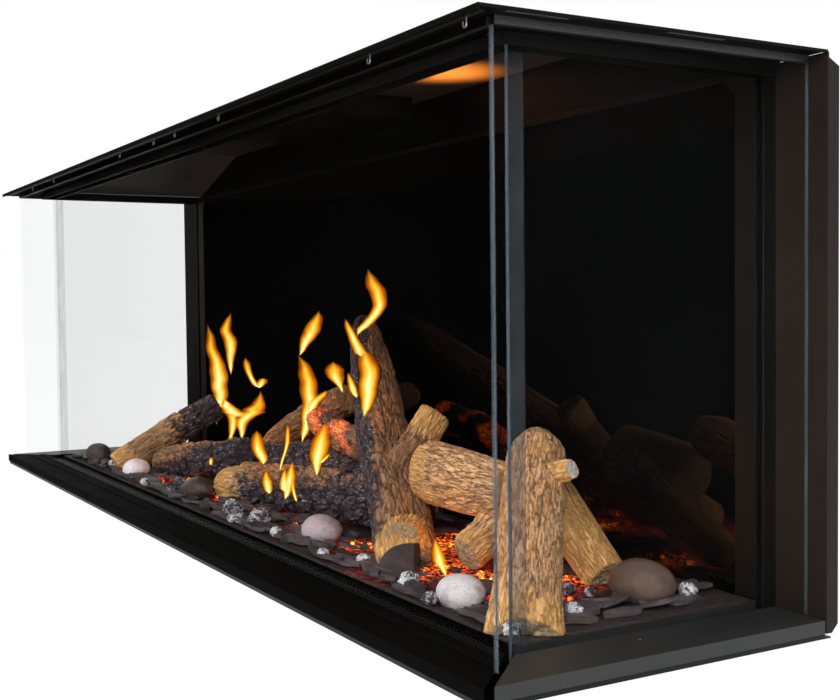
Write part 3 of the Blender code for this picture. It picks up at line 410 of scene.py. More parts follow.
class Graph:
    """The node tree of one finish or of the world, wired by short calls."""

    def __init__(self, name: str, world: bool = False) -> None:
        """Start an empty tree.

        Args:
            name: the name of its material or world.
            world: whether it is a world's tree.
        """
        self.owner = bpy.data.worlds.new(name) if world else bpy.data.materials.new(name)
        self.owner.use_nodes = True
        self.tree = self.owner.node_tree
        self.tree.nodes.clear()
        self.end = self.node("OutputWorld" if world else "OutputMaterial")

    def node(self, kind: str, sockets: dict | None = None, **settings) -> bpy.types.Node:
        """Add a node.

        Args:
            kind: the node's type without its first word.
            sockets: values or links for its inputs, by name or place.
            settings: its own settings.

        Returns:
            The node.
        """
        made = self.tree.nodes.new("ShaderNode" + kind)
        for key, value in settings.items():
            setattr(made, key, value)
        for key, value in (sockets or {}).items():
            target = made.inputs[key]
            if isinstance(value, bpy.types.NodeSocket):
                self.tree.links.new(value, target)
            elif target.type == "RGBA" and len(value) == 3:
                target.default_value = (*value, 1)
            else:
                target.default_value = value
        return made

    def stretched(self, place: Socket, stretch: Point) -> Socket:
        """Scale coordinates along each axis.

        Args:
            place: the coordinates.
            stretch: a factor for each axis.

        Returns:
            The scaled coordinates.
        """
        if stretch == (1, 1, 1):
            return place
        return self.node("Mapping", {"Vector": place, "Scale": stretch}).outputs["Vector"]

    def value(self, name: str) -> Socket:
        """Return a number stored at the vertices."""
        return self.node("Attribute", attribute_name=name).outputs["Fac"]

    def vector(self, name: str) -> Socket:
        """Return a vector stored at the vertices."""
        return self.node("Attribute", attribute_name=name).outputs["Vector"]

    def noise(self, place: Socket, scale: float, detail: float = 3, rough: float = 0.55) -> Socket:
        """Return a noise value."""
        sockets = {"Vector": place, "Scale": scale, "Detail": detail, "Roughness": rough}
        return self.node("TexNoise", sockets).outputs[0]

    def cell(self, place: Socket, scale: float, feature: str = "F1", out: str = "Distance") -> Socket:
        """Return a cell pattern's value."""
        made = self.node("TexVoronoi", {"Vector": place, "Scale": scale}, feature=feature)
        return made.outputs[out]

    def ramp(self, factor: Socket, *stops: tuple) -> Socket:
        """Turn a value into a colour.

        Args:
            factor: the value.
            stops: a place and a number or a colour each.

        Returns:
            The colour.
        """
        made = self.node("ValToRGB", {0: factor})
        line = made.color_ramp
        while len(line.elements) < len(stops):
            line.elements.new(0.5)
        for element, (place, colour) in zip(line.elements, stops):
            element.position = place
            element.color = (*colour, 1) if isinstance(colour, tuple) else (colour, colour, colour, 1)
        return made.outputs["Color"]

    def calc(self, a: Socket, b: Socket | float, kind: str) -> Socket:
        """Return the outcome of one calculation with two values."""
        return self.node("Math", {0: a, 1: b}, operation=kind).outputs[0]

    def plus(self, a: Socket, b: Socket | float) -> Socket:
        """Return a sum."""
        return self.calc(a, b, "ADD")

    def times(self, a: Socket, b: Socket | float) -> Socket:
        """Return a product."""
        return self.calc(a, b, "MULTIPLY")

    def size(self, a: Socket) -> Socket:
        """Return a value without its sign."""
        return self.calc(a, 0.0, "ABSOLUTE")

    def wave(self, a: Socket) -> Socket:
        """Return the sine of a value."""
        return self.calc(a, 0.0, "SINE")

    def seen(self) -> Socket:
        """Tell looks of the camera, of mirrors and through panes from the gathering of light.

        Returns:
            1 for looks, and 0 for the rest.
        """
        path = self.node("LightPath").outputs
        direct = self.calc(path["Is Camera Ray"], path["Is Glossy Ray"], "MAXIMUM")
        return self.calc(direct, path["Is Transmission Ray"], "MAXIMUM")

    def mix(self, factor: Socket | float, a: Socket | Colour, b: Socket | Colour) -> Socket:
        """Return a mix of two colours."""
        sockets = {0: factor, 6: a, 7: b}
        return self.node("Mix", sockets, data_type="RGBA").outputs[2]

    def bump(self, height: Socket, distance: float, below: Socket | None = None) -> Socket:
        """Raise a relief from a height.

        Args:
            height: the height, from 0 to 1.
            distance: its depth in metres.
            below: a normal to start from.

        Returns:
            The normal.
        """
        sockets = {"Height": height, "Distance": distance, "Strength": 1.0}
        if below is not None:
            sockets["Normal"] = below
        return self.node("Bump", sockets).outputs["Normal"]

    def surface(self, tone: Socket, rough: Socket | float, relief: Socket | None = None, **more) -> Socket:
        """Wire a Principled shader.

        Args:
            tone: its base colour.
            rough: its roughness.
            relief: its normal, where it has a relief.
            more: its other inputs by name, with _ for a blank.

        Returns:
            The shader.
        """
        sockets = {"Base Color": tone, "Roughness": rough}
        if relief is not None:
            sockets["Normal"] = relief
        sockets |= {key.replace("_", " "): value for key, value in more.items()}
        return self.node("BsdfPrincipled", sockets).outputs["BSDF"]

    def mix_shader(self, factor: Socket | float, a: Socket, b: Socket) -> Socket:
        """Return a mix of two shaders."""
        return self.node("MixShader", {0: factor, 1: a, 2: b}).outputs[0]

    def done(self, shader: Socket) -> Material | bpy.types.World:
        """Wire the shader to the output and return the material or the world."""
        self.tree.links.new(shader, self.end.inputs["Surface"])
        return self.owner


# Finishes of the casework
class Finish:
    """What all finishes share: a name, and a shader that they wire themselves."""

    name: str

    def wire(self, graph: Graph, place: Socket) -> Socket:
        """Wire the shader.

        Args:
            graph: the material's node tree.
            place: Object coordinates.

        Returns:
            The shader.
        """
        raise NotImplementedError

    def make(self) -> Material:
        """Return the material, wired as the finish says."""
        graph = Graph(self.name)
        return graph.done(self.wire(graph, graph.node("TexCoord").outputs["Object"]))


@dataclass(frozen=True)
class PowderCoat(Finish):
    """Matt black or grey powder coat on folded sheet, with faint dust and rounded edges."""

    name: str
    colour: Colour
    rough: float = 0.42
    mottle: float = 0.25
    edge: float = 0.0007
    shine: float = 0.4

    def wire(self, graph: Graph, place: Socket) -> Socket:
        """Return the shader."""
        broad = graph.noise(place, 7, 4)
        dust = graph.ramp(graph.noise(place, 260, 4, 0.7), (0.52, 0.0), (0.75, 1.0))
        dark = toned(self.colour, 1 - self.mottle)
        light = toned(self.colour, 1 + self.mottle)
        pale = toned(self.colour, 1.9, 0.004)
        tone = graph.ramp(broad, (0.35, dark), (0.65, light))
        tone = graph.mix(graph.times(dust, 0.3), tone, pale)
        gloss = graph.ramp(broad, (0.3, self.rough - 0.05), (0.7, self.rough + 0.07))
        rounded = graph.node("Bevel", {"Radius": self.edge}, samples=4).outputs["Normal"]
        relief = graph.bump(graph.noise(place, 1400, 2), 0.00003, rounded)
        return graph.surface(tone, gloss, relief, Specular_IOR_Level=self.shine)


@dataclass(frozen=True)
class Metal(Finish):
    """Bare metal with fine brushed streaks and a duller film in places."""

    name: str
    colour: Colour
    rough: float
    streak: Point = (1, 1, 1)
    bloom: Colour | None = None

    def wire(self, graph: Graph, place: Socket) -> Socket:
        """Return the shader."""
        streaks = graph.noise(graph.stretched(place, self.streak), 320, 4, 0.6)
        film = graph.noise(place, 24, 4)
        low = toned(self.colour, 0.72)
        tone = graph.ramp(streaks, (0.3, low), (0.7, self.colour))
        if self.bloom:
            spangle = graph.cell(place, 90, out="Color")
            tone = graph.mix(graph.ramp(spangle, (0.2, 0.0), (0.9, 0.5)), tone, self.bloom)
        gloss = graph.ramp(film, (0.3, self.rough), (0.75, self.rough + 0.16))
        relief = graph.bump(streaks, 0.00004)
        return graph.surface(tone, gloss, relief, Metallic=1.0)


@dataclass(frozen=True)
class Moulding(Finish):
    """Moulded plastic or rubber with a fine spark-eroded grain."""

    name: str
    colour: Colour
    rough: float = 0.45

    def wire(self, graph: Graph, place: Socket) -> Socket:
        """Return the shader."""
        grain = graph.noise(place, 900, 3)
        light = toned(self.colour, 1.25, 0.003)
        tone = graph.ramp(graph.noise(place, 40, 3), (0.35, self.colour), (0.7, light))
        relief = graph.bump(grain, 0.00008)
        return graph.surface(tone, self.rough, relief)


class Facing(Enum):
    """The axis that a pane's two large faces look along."""

    FRONT = "Y"
    SIDE = "X"


@dataclass(frozen=True)
class Pane(Finish):
    """Clear coated glass whose cut edges show as thin blue-grey bands."""

    name: str
    facing: Facing
    clear: Colour = (0.996, 0.997, 0.997)
    edge_colour: Colour = (0.16, 0.2, 0.235)
    edge_clear: float = 0.72
    rim_shine: float = 0.09
    bright_beyond: float = -0.6

    def wire(self, graph: Graph, place: Socket) -> Socket:
        """Return the shader."""
        haze = graph.ramp(graph.noise(place, 5, 5, 0.6), (0.45, 0.0002), (0.8, 0.0012))
        through = graph.node("BsdfTransparent", {"Color": self.clear}).outputs[0]
        shine = graph.node("BsdfGlossy", {"Color": (0.9, 0.93, 0.95), "Roughness": 0.02}).outputs[0]
        rim = graph.node("LayerWeight", {"Blend": 0.5}).outputs["Facing"]
        rim = graph.times(graph.calc(rim, 5.0, "POWER"), self.rim_shine)
        face = graph.mix_shader(graph.plus(rim, haze), through, shine)
        streak = graph.noise(graph.stretched(place, (1, 1, 0.05)), 300, 3)
        low = toned(self.edge_colour, 0.6)
        tone = graph.ramp(streak, (0.35, low), (0.65, self.edge_colour))
        cut = graph.surface(tone, 0.22)
        bare = graph.node("BsdfTransparent", {"Color": (0.93, 0.95, 0.96)}).outputs[0]
        edge = graph.mix_shader(self.edge_clear, cut, bare)
        geometry = graph.node("NewGeometry").outputs["True Normal"]
        across = graph.node("SeparateXYZ", {0: place}).outputs["X"]
        rise = graph.node("SeparateXYZ", {0: geometry}).outputs["Z"]
        level = graph.calc(graph.size(rise), 0.7, "GREATER_THAN")
        beyond = graph.calc(graph.calc(across, self.bright_beyond, "LESS_THAN"), level, "MAXIMUM")
        edge = graph.mix_shader(beyond, edge, through)
        looks = graph.node("SeparateXYZ", {0: geometry}).outputs[self.facing.value]
        broad = graph.calc(graph.size(looks), 0.7, "GREATER_THAN")
        return graph.mix_shader(broad, edge, face)


@dataclass(frozen=True)
class BlackGlass(Finish):
    """Black glass that mirrors the fire dimly, with faint smudges."""

    name: str = "black_glass_back"
    warmth: Colour = (1.0, 0.76, 0.54)

    def wire(self, graph: Graph, place: Socket) -> Socket:
        """Return the shader."""
        smudge = graph.noise(place, 9, 5, 0.65)
        gloss = graph.ramp(smudge, (0.35, 0.015), (0.75, 0.05))
        tone = graph.ramp(smudge, (0.3, (0.0012, 0.0012, 0.0013)), (0.8, (0.003, 0.003, 0.0033)))
        return graph.surface(tone, gloss, Specular_Tint=self.warmth)


@dataclass(frozen=True)
class HookStrip(Finish):
    """Black strip whose small wire hooks below it are bright."""

    name: str = "hook_strip_finish"
    split: float = 0.5467

    def wire(self, graph: Graph, place: Socket) -> Socket:
        """Return the shader."""
        height = graph.node("SeparateXYZ", {0: place}).outputs["Z"]
        wire = graph.calc(height, self.split, "LESS_THAN")
        scuff = graph.noise(place, 600, 3)
        bright = graph.ramp(scuff, (0.3, (0.42, 0.42, 0.42)), (0.7, (0.75, 0.75, 0.74)))
        steel = graph.surface(bright, 0.28, Metallic=0.85)
        dark = graph.ramp(scuff, (0.3, (0.006, 0.006, 0.006)), (0.7, (0.012, 0.012, 0.012)))
        paint = graph.surface(dark, 0.5)
        return graph.mix_shader(wire, paint, steel)


@dataclass(frozen=True)
class Seal(Finish):
    """Streaked silicone strip between two panes, which a look passes through."""

    name: str
    low: Colour
    high: Colour
    clear: Colour | None = None
    clear_share: float = 0.86

    def wire(self, graph: Graph, place: Socket) -> Socket:
        """Return the shader."""
        streak = graph.noise(graph.stretched(place, (1, 1, 0.08)), 260, 3)
        tone = graph.ramp(streak, (0.3, self.low), (0.7, self.high))
        sockets = {"Color": self.clear or tone, "Roughness": 0.0, "IOR": 1.0}
        through = graph.node("BsdfRefraction", sockets).outputs[0]
        if not self.clear:
            return through
        body = graph.surface(tone, 0.35)
        return graph.mix_shader(self.clear_share, body, through)


# Finishes of the fire bed
@dataclass(frozen=True)
class BarkFinish(Finish):
    """Ceramic log paint: wood between furrows, golden broken wood, char with ash, pale cut ends; painted
    shade darkens the low places, fissures and cracks, and pale streaks on the crests are partly ash and
    partly painted glints.
    """

    name: str
    wood: Colour = (0.95, 0.54, 0.27)
    wood_dark: Colour = (0.44, 0.22, 0.11)
    furrow: Colour = (0.05, 0.027, 0.017)
    warm: Colour = (0.82, 0.4, 0.16)
    gold: Colour = (0.88, 0.47, 0.16)
    gold_dark: Colour = (0.52, 0.24, 0.075)
    gold_pale: Colour = (0.95, 0.76, 0.5)
    char: Colour = (0.13, 0.098, 0.115)
    char_dark: Colour = (0.026, 0.019, 0.022)
    # Colour and share of the pale streaks on the crests: partly ash, partly painted glints.
    ash_and_glint: Colour = (0.56, 0.52, 0.57)
    ash_and_glint_share: float = 0.7
    cut_wood: Colour = (0.72, 0.5, 0.3)
    rough: float = 0.62
    glow_strength: float = 1.6

    def wire(self, graph: Graph, place: Socket) -> Socket:
        """Return the shader."""
        grain = graph.vector("grain")
        char, crack, crest = graph.value("char"), graph.value("crack"), graph.value("crest")
        fibre = graph.noise(graph.stretched(grain, (1, 1, 0.13)), 260, 5, 0.62)
        broad = graph.noise(graph.stretched(grain, (1, 1, 0.3)), 42, 3)
        flake = graph.noise(graph.stretched(grain, (1, 1, 0.4)), 520, 4, 0.7)
        # Fissures are fine grooves of the grain, lowered by the bump and darkened below: partly darker
        # paint in the grooves, partly painted shade.
        near = graph.size(graph.calc(fibre, 0.5, "SUBTRACT"))
        fissure = graph.ramp(near, (0.0, 1.0), (0.035, 0.0))
        # Painted shade: the low places between the bark's crests are darkened towards the dark wood.
        low = graph.ramp(crest, (0.25, 1.0), (0.52, 0.0))
        wood = graph.ramp(flake, (0.36, self.wood_dark), (0.5, self.wood), (0.68, self.wood))
        wood = graph.mix(graph.ramp(broad, (0.42, 0.0), (0.66, 0.75)), wood, self.warm)
        wood = graph.mix(graph.times(low, 0.4), wood, self.wood_dark)
        # Painted shade, partly the darker paint in the grooves: fissures and cracks are darkened to the
        # furrow colour.
        wood = graph.mix(graph.times(fissure, 0.5), wood, self.furrow)
        wood = graph.mix(graph.times(crack, 0.5), wood, self.furrow)
        coal = graph.ramp(flake, (0.38, self.char_dark), (0.62, self.char))
        # Pale streaks, stronger on the crests: partly ash, partly painted glints.
        streak = graph.noise(graph.stretched(grain, (1, 1, 0.34)), 560, 2, 0.5)
        ash_and_glint = graph.ramp(streak, (0.58, 0.0), (0.7, self.ash_and_glint_share))
        ash_and_glint = graph.times(ash_and_glint, graph.ramp(crest, (0.3, 0.25), (0.7, 1.0)))
        # Painted shade, partly the black of the char: the cracks in the char are darkened.
        coal = graph.mix(graph.times(crack, 0.85), coal, self.char_dark)
        coal = graph.mix(ash_and_glint, coal, self.ash_and_glint)
        patch = graph.calc(graph.noise(grain, 120, 4), 0.5, "SUBTRACT")
        share = graph.plus(char, graph.times(patch, 1.1))
        tone = graph.mix(graph.ramp(share, (0.4, 0.0), (0.6, 1.0)), wood, coal)
        stops = (0.36, self.gold_dark), (0.47, self.gold), (0.6, self.gold), (0.72, self.gold_pale)
        # The golden wood is darkened in the fissures too: partly darker paint in the grooves, partly
        # painted shade.
        golden = graph.mix(graph.times(fissure, 0.45), graph.ramp(fibre, *stops), self.gold_dark)
        bare = graph.plus(graph.value("gold"), graph.times(patch, 0.7))
        tone = graph.mix(graph.ramp(bare, (0.35, 0.0), (0.5, 0.92)), tone, golden)
        ring = graph.times(graph.value("ring"), 34.0)
        ring = graph.wave(graph.plus(ring, graph.times(broad, 9.0)))
        shade = toned(self.cut_wood, 0.5)
        sawn = graph.mix(graph.ramp(ring, (0.0, 0.0), (1.0, 0.5)), self.cut_wood, shade)
        sawn = graph.mix(graph.ramp(flake, (0.34, 0.8), (0.44, 0.0)), sawn, self.furrow)
        tone = graph.mix(graph.value("cut"), tone, sawn)
        height = graph.plus(fibre, graph.times(flake, 0.6))
        height = graph.calc(height, graph.times(fissure, 0.45), "SUBTRACT")
        relief = graph.bump(height, 0.0036)
        hot = graph.times(graph.value("glow"), graph.ramp(flake, (0.42, 0.0), (0.62, 1.0)))
        fire = graph.ramp(hot, (0.0, (0.0, 0.0, 0.0)), (0.4, (0.5, 0.03, 0.004)), (1.0, (1.0, 0.3, 0.04)))
        light = {"Emission_Color": fire, "Emission_Strength": self.glow_strength}
        return graph.surface(tone, self.rough, relief, **light)


@dataclass(frozen=True)
class StoneFinish(Finish):
    """Painted ceramic pebble with fine pores and a soft second tone."""

    name: str
    colour: Colour
    second: Colour
    split: tuple[float, float] = (0.45, 0.6)
    speck: Colour = (0.05, 0.04, 0.04)
    rough: float = 0.6
    bumps: float = 0.00025

    def wire(self, graph: Graph, place: Socket) -> Socket:
        """Return the shader."""
        patch = graph.noise(place, 34, 4, 0.6)
        pores = graph.noise(place, 620, 4, 0.7)
        tone = graph.ramp(patch, (self.split[0], self.colour), (self.split[1], self.second))
        tone = graph.mix(graph.ramp(pores, (0.33, 0.7), (0.44, 0.0)), tone, self.speck)
        height = graph.plus(pores, graph.times(patch, 0.4))
        relief = graph.bump(height, self.bumps)
        return graph.surface(tone, self.rough, relief)


@dataclass(frozen=True)
class NuggetFinish(Finish):
    """Crinkled bright ember pieces: white where the bump is high, partly their silver colour and partly
    painted highlight, over dark purple-grey hollows, with painted shade in the creases.
    """

    name: str
    bright: Colour = (0.86, 0.85, 0.88)
    dark: Colour = (0.06, 0.05, 0.07)
    share: tuple[float, float] = (0.68, 0.82)

    def wire(self, graph: Graph, place: Socket) -> Socket:
        """Return the shader."""
        net = graph.cell(place, 330, "DISTANCE_TO_EDGE")
        mottle = graph.noise(place, 210, 4, 0.65)
        patch = graph.noise(place, 60, 2)
        # White where the bump is high: partly the pieces' silver colour, partly painted highlight on the
        # crests.
        silver_and_highlight = graph.plus(mottle, graph.times(patch, 0.6))
        white = graph.ramp(silver_and_highlight, (self.share[0], 0.0), (self.share[1], 1.0))
        tone = graph.mix(white, self.dark, self.bright)
        # Painted shade: the creases along the cell net, which the bump lowers too, are darkened almost to
        # black.
        tone = graph.mix(graph.ramp(net, (0.0, 0.75), (0.06, 0.0)), tone, (0.012, 0.01, 0.014))
        relief = graph.bump(graph.plus(net, mottle), 0.0009)
        gloss = graph.ramp(mottle, (0.4, 0.28), (0.7, 0.55))
        return graph.surface(tone, gloss, relief, Metallic=0.15)


@dataclass(frozen=True)
class SlateFinish(Finish):
    """Split slate chips in dull purple-grey with fine layers."""

    name: str
    colour: Colour = (0.105, 0.08, 0.086)
    second: Colour = (0.06, 0.047, 0.053)

    def wire(self, graph: Graph, place: Socket) -> Socket:
        """Return the shader."""
        layer = graph.noise(graph.stretched(place, (1, 1, 4)), 150, 5, 0.7)
        patch = graph.noise(place, 55, 3)
        tone = graph.ramp(patch, (0.38, self.second), (0.62, self.colour))
        pale = toned(self.colour, 1.7)
        tone = graph.mix(graph.ramp(layer, (0.55, 0.0), (0.75, 0.6)), tone, pale)
        relief = graph.bump(layer, 0.0008)
        return graph.surface(tone, 0.55, relief)


@dataclass(frozen=True)
class EmberFinish(Finish):
    """Dark ember floor that glows red and orange in the hot places."""

    name: str
    colour: Colour = (0.022, 0.016, 0.015)
    strength: float = 1.9

    def wire(self, graph: Graph, place: Socket) -> Socket:
        """Return the shader."""
        coarse = graph.noise(place, 110, 5, 0.7)
        fine = graph.noise(place, 420, 4, 0.7)
        spark = graph.plus(coarse, graph.times(fine, 0.7))
        glow = graph.times(graph.ramp(spark, (0.86, 0.0), (1.08, 1.0)), graph.value("glow"))
        fire = graph.ramp(
            glow,
            (0.0, (0.0, 0.0, 0.0)),
            (0.12, (0.25, 0.012, 0.002)),
            (0.4, (0.95, 0.1, 0.008)),
            (0.85, (1.0, 0.42, 0.05)),
        )
        pale = toned(self.colour, 3)
        tone = graph.ramp(coarse, (0.4, self.colour), (0.7, pale))
        relief = graph.bump(spark, 0.0018)
        return graph.surface(tone, 0.8, relief, Emission_Color=fire, Emission_Strength=self.strength)


@dataclass(frozen=True)
class FlameFinish(Finish):
    """See-through flame: white-yellow heart, yellow body, orange rim that fades out."""

    name: str = "gas_flame"
    strength: float = 1.3
    cover: float = 0.9

    def wire(self, graph: Graph, place: Socket) -> Socket:
        """Return the shader."""
        rise, core = graph.value("rise"), graph.value("core")
        wisp = graph.noise(graph.stretched(place, (1, 1, 0.35)), 90, 3)
        wisp = graph.times(graph.calc(wisp, 0.5, "SUBTRACT"), 0.5)
        cool = graph.ramp(rise, (0.0, 0.0), (0.45, 0.1), (1.0, 0.62))
        heat = graph.calc(graph.plus(core, wisp), cool, "SUBTRACT")
        tone = graph.ramp(
            heat,
            (0.0, (0.85, 0.19, 0.005)),
            (0.18, (1.0, 0.28, 0.007)),
            (0.4, (1.0, 0.47, 0.02)),
            (0.62, (1.0, 0.7, 0.09)),
            (0.85, (1.0, 0.95, 0.45)),
        )
        light = graph.node("Emission", {"Color": tone, "Strength": self.strength}).outputs[0]
        clear = graph.node("BsdfTransparent").outputs[0]
        fade = graph.ramp(rise, (0.0, 0.0), (0.06, 1.0), (0.72, 0.85), (1.0, 0.0))
        body = graph.ramp(graph.plus(core, wisp), (0.03, 0.0), (0.42, 0.42), (0.75, self.cover))
        return graph.mix_shader(graph.times(fade, body), clear, light)


# The camera, the floor and the lamps
@dataclass(frozen=True)
class PhotoView:
    """The place and the angle that the photograph was taken from, and its lens."""

    place: Point = (1.68276, -0.70220, 0.32049)
    right: Point = (0.50072, 0.86554, -0.01061)
    down: Point = (0.02838, -0.02866, -0.99919)
    ahead: Point = (-0.86514, 0.50001, -0.03892)
    lens: float = 52.05
    sensor: float = 36.0
    middle_pixel: tuple[float, float] = (420, 350)

    @property
    def focal(self) -> float:
        """Return the focal length in pixels."""
        return self.lens / self.sensor * 2 * self.middle_pixel[0]

    def ray(self, across: float, down: float) -> Vector:
        """Return the way from the camera through a pixel of the photograph."""
        x, y = (across - self.middle_pixel[0]) / self.focal, (down - self.middle_pixel[1]) / self.focal
        return Vector(self.ahead) + x * Vector(self.right) + y * Vector(self.down)


@dataclass
class Studio:
    """Camera at the photograph's angle, white surroundings, soft lamps and the light of the fire."""

    view: PhotoView = PhotoView()
    sky_light: float = 0.9
    floor_half: float = 9.0
    floor_sink: float = 0.0004
    floor_white: float = 1.05
    floor_share: float = 0.86
    card_rise: float = 0.0008
    flag_length: float = 10.5
    flag_middle: float = -4.2
    flag_near: float = -0.24
    flag_far: float = -1.5
    flag_height: float = 3.2
    wing_size: tuple[float, float] = (2.4, 0.6)
    wing_middle: tuple[float, float] = (-2.1, 0.06)
    glow_place: Point = (0.345, 0.115, 0.505)
    glow_power: float = 22
    glow_colour: Colour = (1.0, 0.33, 0.05)
    glow_angle: float = math.radians(80)
    fire_colour: Colour = (1.0, 0.42, 0.1)
    fire_radius: float = 0.03
    soft_lamps: tuple = (
        ("key_lamp", (2.3, -1.7, 1.3), (0.5, 0.0, 0.15), 1.4, 58),
        ("fill_lamp", (-0.6, -2.6, 0.9), (0.0, 0.0, 0.15), 1.6, 36),
    )
    fire_lamps: tuple = (
        ("fire_light_standing", (0.27, -0.02, 0.23), 0.16),
        ("fire_light_middle", (0.05, 0.02, 0.13), 0.16),
        ("fire_light_left", (-0.28, 0.03, 0.14), 0.16),
        ("fire_light_end", (-0.5, 0.06, 0.2), 0.1),
        ("fire_light_bed", (0.5, 0.0, 0.06), 0.05),
    )

    def set_camera(self) -> None:
        """Make the scene's camera."""
        view = self.view
        data = bpy.data.cameras.new("photo_camera")
        data.lens, data.sensor_width, data.clip_start = view.lens, view.sensor, 0.01
        camera = bpy.data.objects.new("photo_camera", data)
        bpy.context.scene.collection.objects.link(camera)
        columns = Matrix((view.right, -Vector(view.down), -Vector(view.ahead))).transposed()
        camera.matrix_world = Matrix.Translation(view.place) @ columns.to_4x4()
        bpy.context.scene.camera = camera

    def set_world(self) -> None:
        """Light the scene evenly and show white behind it."""
        graph = Graph("white_room", world=True)
        sockets = {"Value": graph.seen(), "To Min": self.sky_light, "To Max": 1.0}
        level = graph.node("MapRange", sockets).outputs[0]
        sky = graph.node("Background", {"Color": (1, 1, 1), "Strength": level}).outputs[0]
        bpy.context.scene.world = graph.done(sky)
        bpy.context.scene.view_settings.view_transform = "Standard"

    def add_floor(self) -> None:
        """Lay a white floor that keeps a soft shadow."""
        deselect()
        bpy.ops.mesh.primitive_grid_add(x_subdivisions=8, y_subdivisions=8, size=2 * self.floor_half)
        floor = bpy.context.object
        floor.name = "studio_floor"
        floor.data.transform(Matrix.Translation((0, 0, -self.floor_sink)))
        graph = Graph("studio_floor_white")
        matt = graph.node("BsdfDiffuse", {"Color": (0.85, 0.85, 0.85)}).outputs[0]
        light = {"Color": (1, 1, 1), "Strength": self.floor_white}
        white = graph.node("Emission", light).outputs[0]
        share = graph.times(graph.seen(), self.floor_share)
        put_finish(floor, graph.done(graph.mix_shader(share, matt, white)))

    def add_card(self, name: str) -> Piece:
        """Add a black card of size 1, which only reflections see.

        Args:
            name: the card's name.

        Returns:
            The card.
        """
        deselect()
        bpy.ops.mesh.primitive_grid_add(x_subdivisions=2, y_subdivisions=2, size=1)
        card = bpy.context.object
        card.name = name
        graph = Graph(name + "_black")
        dark = graph.node("Emission", {"Color": (0, 0, 0), "Strength": 0.0}).outputs[0]
        put_finish(card, graph.done(dark))
        card.visible_camera = card.visible_diffuse = card.visible_shadow = False
        card.visible_transmission = card.visible_volume_scatter = False
        return card

    def add_flag(self) -> None:
        """Lay a card before the fire, with its far edge folded up, which the panes see too."""
        flag = self.add_card("studio_flag")
        bpy.ops.object.mode_set(mode="EDIT")
        pick(flag, Part.EDGE, lambda edge: all(vert.co.y < -0.49 for vert in edge.verts))
        bpy.ops.mesh.extrude_region_move(TRANSFORM_OT_translate={"value": (0, 0, 1)})
        bpy.ops.object.mode_set(mode="OBJECT")
        rows = get_points(flag)
        rows[:, 0] = rows[:, 0] * self.flag_length + self.flag_middle
        rows[:, 1] = self.flag_near + (0.5 - rows[:, 1]) * (self.flag_far - self.flag_near)
        rows[:, 2] = self.card_rise + rows[:, 2] * self.flag_height
        set_points(flag, rows)
        flag.visible_transmission = True

    def add_wing(self) -> None:
        """Lay a card beside the fire's left end."""
        wing = self.add_card("studio_wing")
        rows = get_points(wing)
        rows[:, :2] = rows[:, :2] * self.wing_size + self.wing_middle
        rows[:, 2] = self.card_rise
        set_points(wing, rows)

    def hang(self, name: str, kind: str, place: Matrix, power: float, **looks) -> None:
        """Hang a lamp that no mirror shows.

        Args:
            name: the lamp's name.
            kind: its type.
            place: where it hangs and how it is turned.
            power: its power in watts.
            looks: its other settings.
        """
        data = bpy.data.lights.new(name, kind)
        data.energy = power
        for key, value in looks.items():
            setattr(data, key, value)
        lamp = bpy.data.objects.new(name, data)
        bpy.context.scene.collection.objects.link(lamp)
        lamp.matrix_world = place
        lamp.visible_glossy = False

    def add_lamps(self) -> None:
        """Hang the glow that the flames throw up at the hood, the soft lamps and the flames' light."""
        upwards = Matrix.Translation(self.glow_place) @ Matrix.Rotation(math.pi, 4, "X")
        cone = {"spot_size": self.glow_angle, "spot_blend": 1.0, "shadow_soft_size": 0.01}
        self.hang("ceiling_glow", "SPOT", upwards, self.glow_power, color=self.glow_colour, **cone)
        for name, place, target, size, power in self.soft_lamps:
            turn = (Vector(target) - Vector(place)).to_track_quat("-Z", "Y").to_matrix().to_4x4()
            self.hang(name, "AREA", Matrix.Translation(place) @ turn, power, shape="SQUARE", size=size)
        looks = {"color": self.fire_colour, "shadow_soft_size": self.fire_radius}
        for name, place, power in self.fire_lamps:
            self.hang(name, "POINT", Matrix.Translation(place), power, **looks)

    def build(self) -> None:
        """Set the whole studio."""
        self.set_camera()
        self.set_world()
        self.add_floor()
        self.add_flag()
        self.add_wing()
        self.add_lamps()


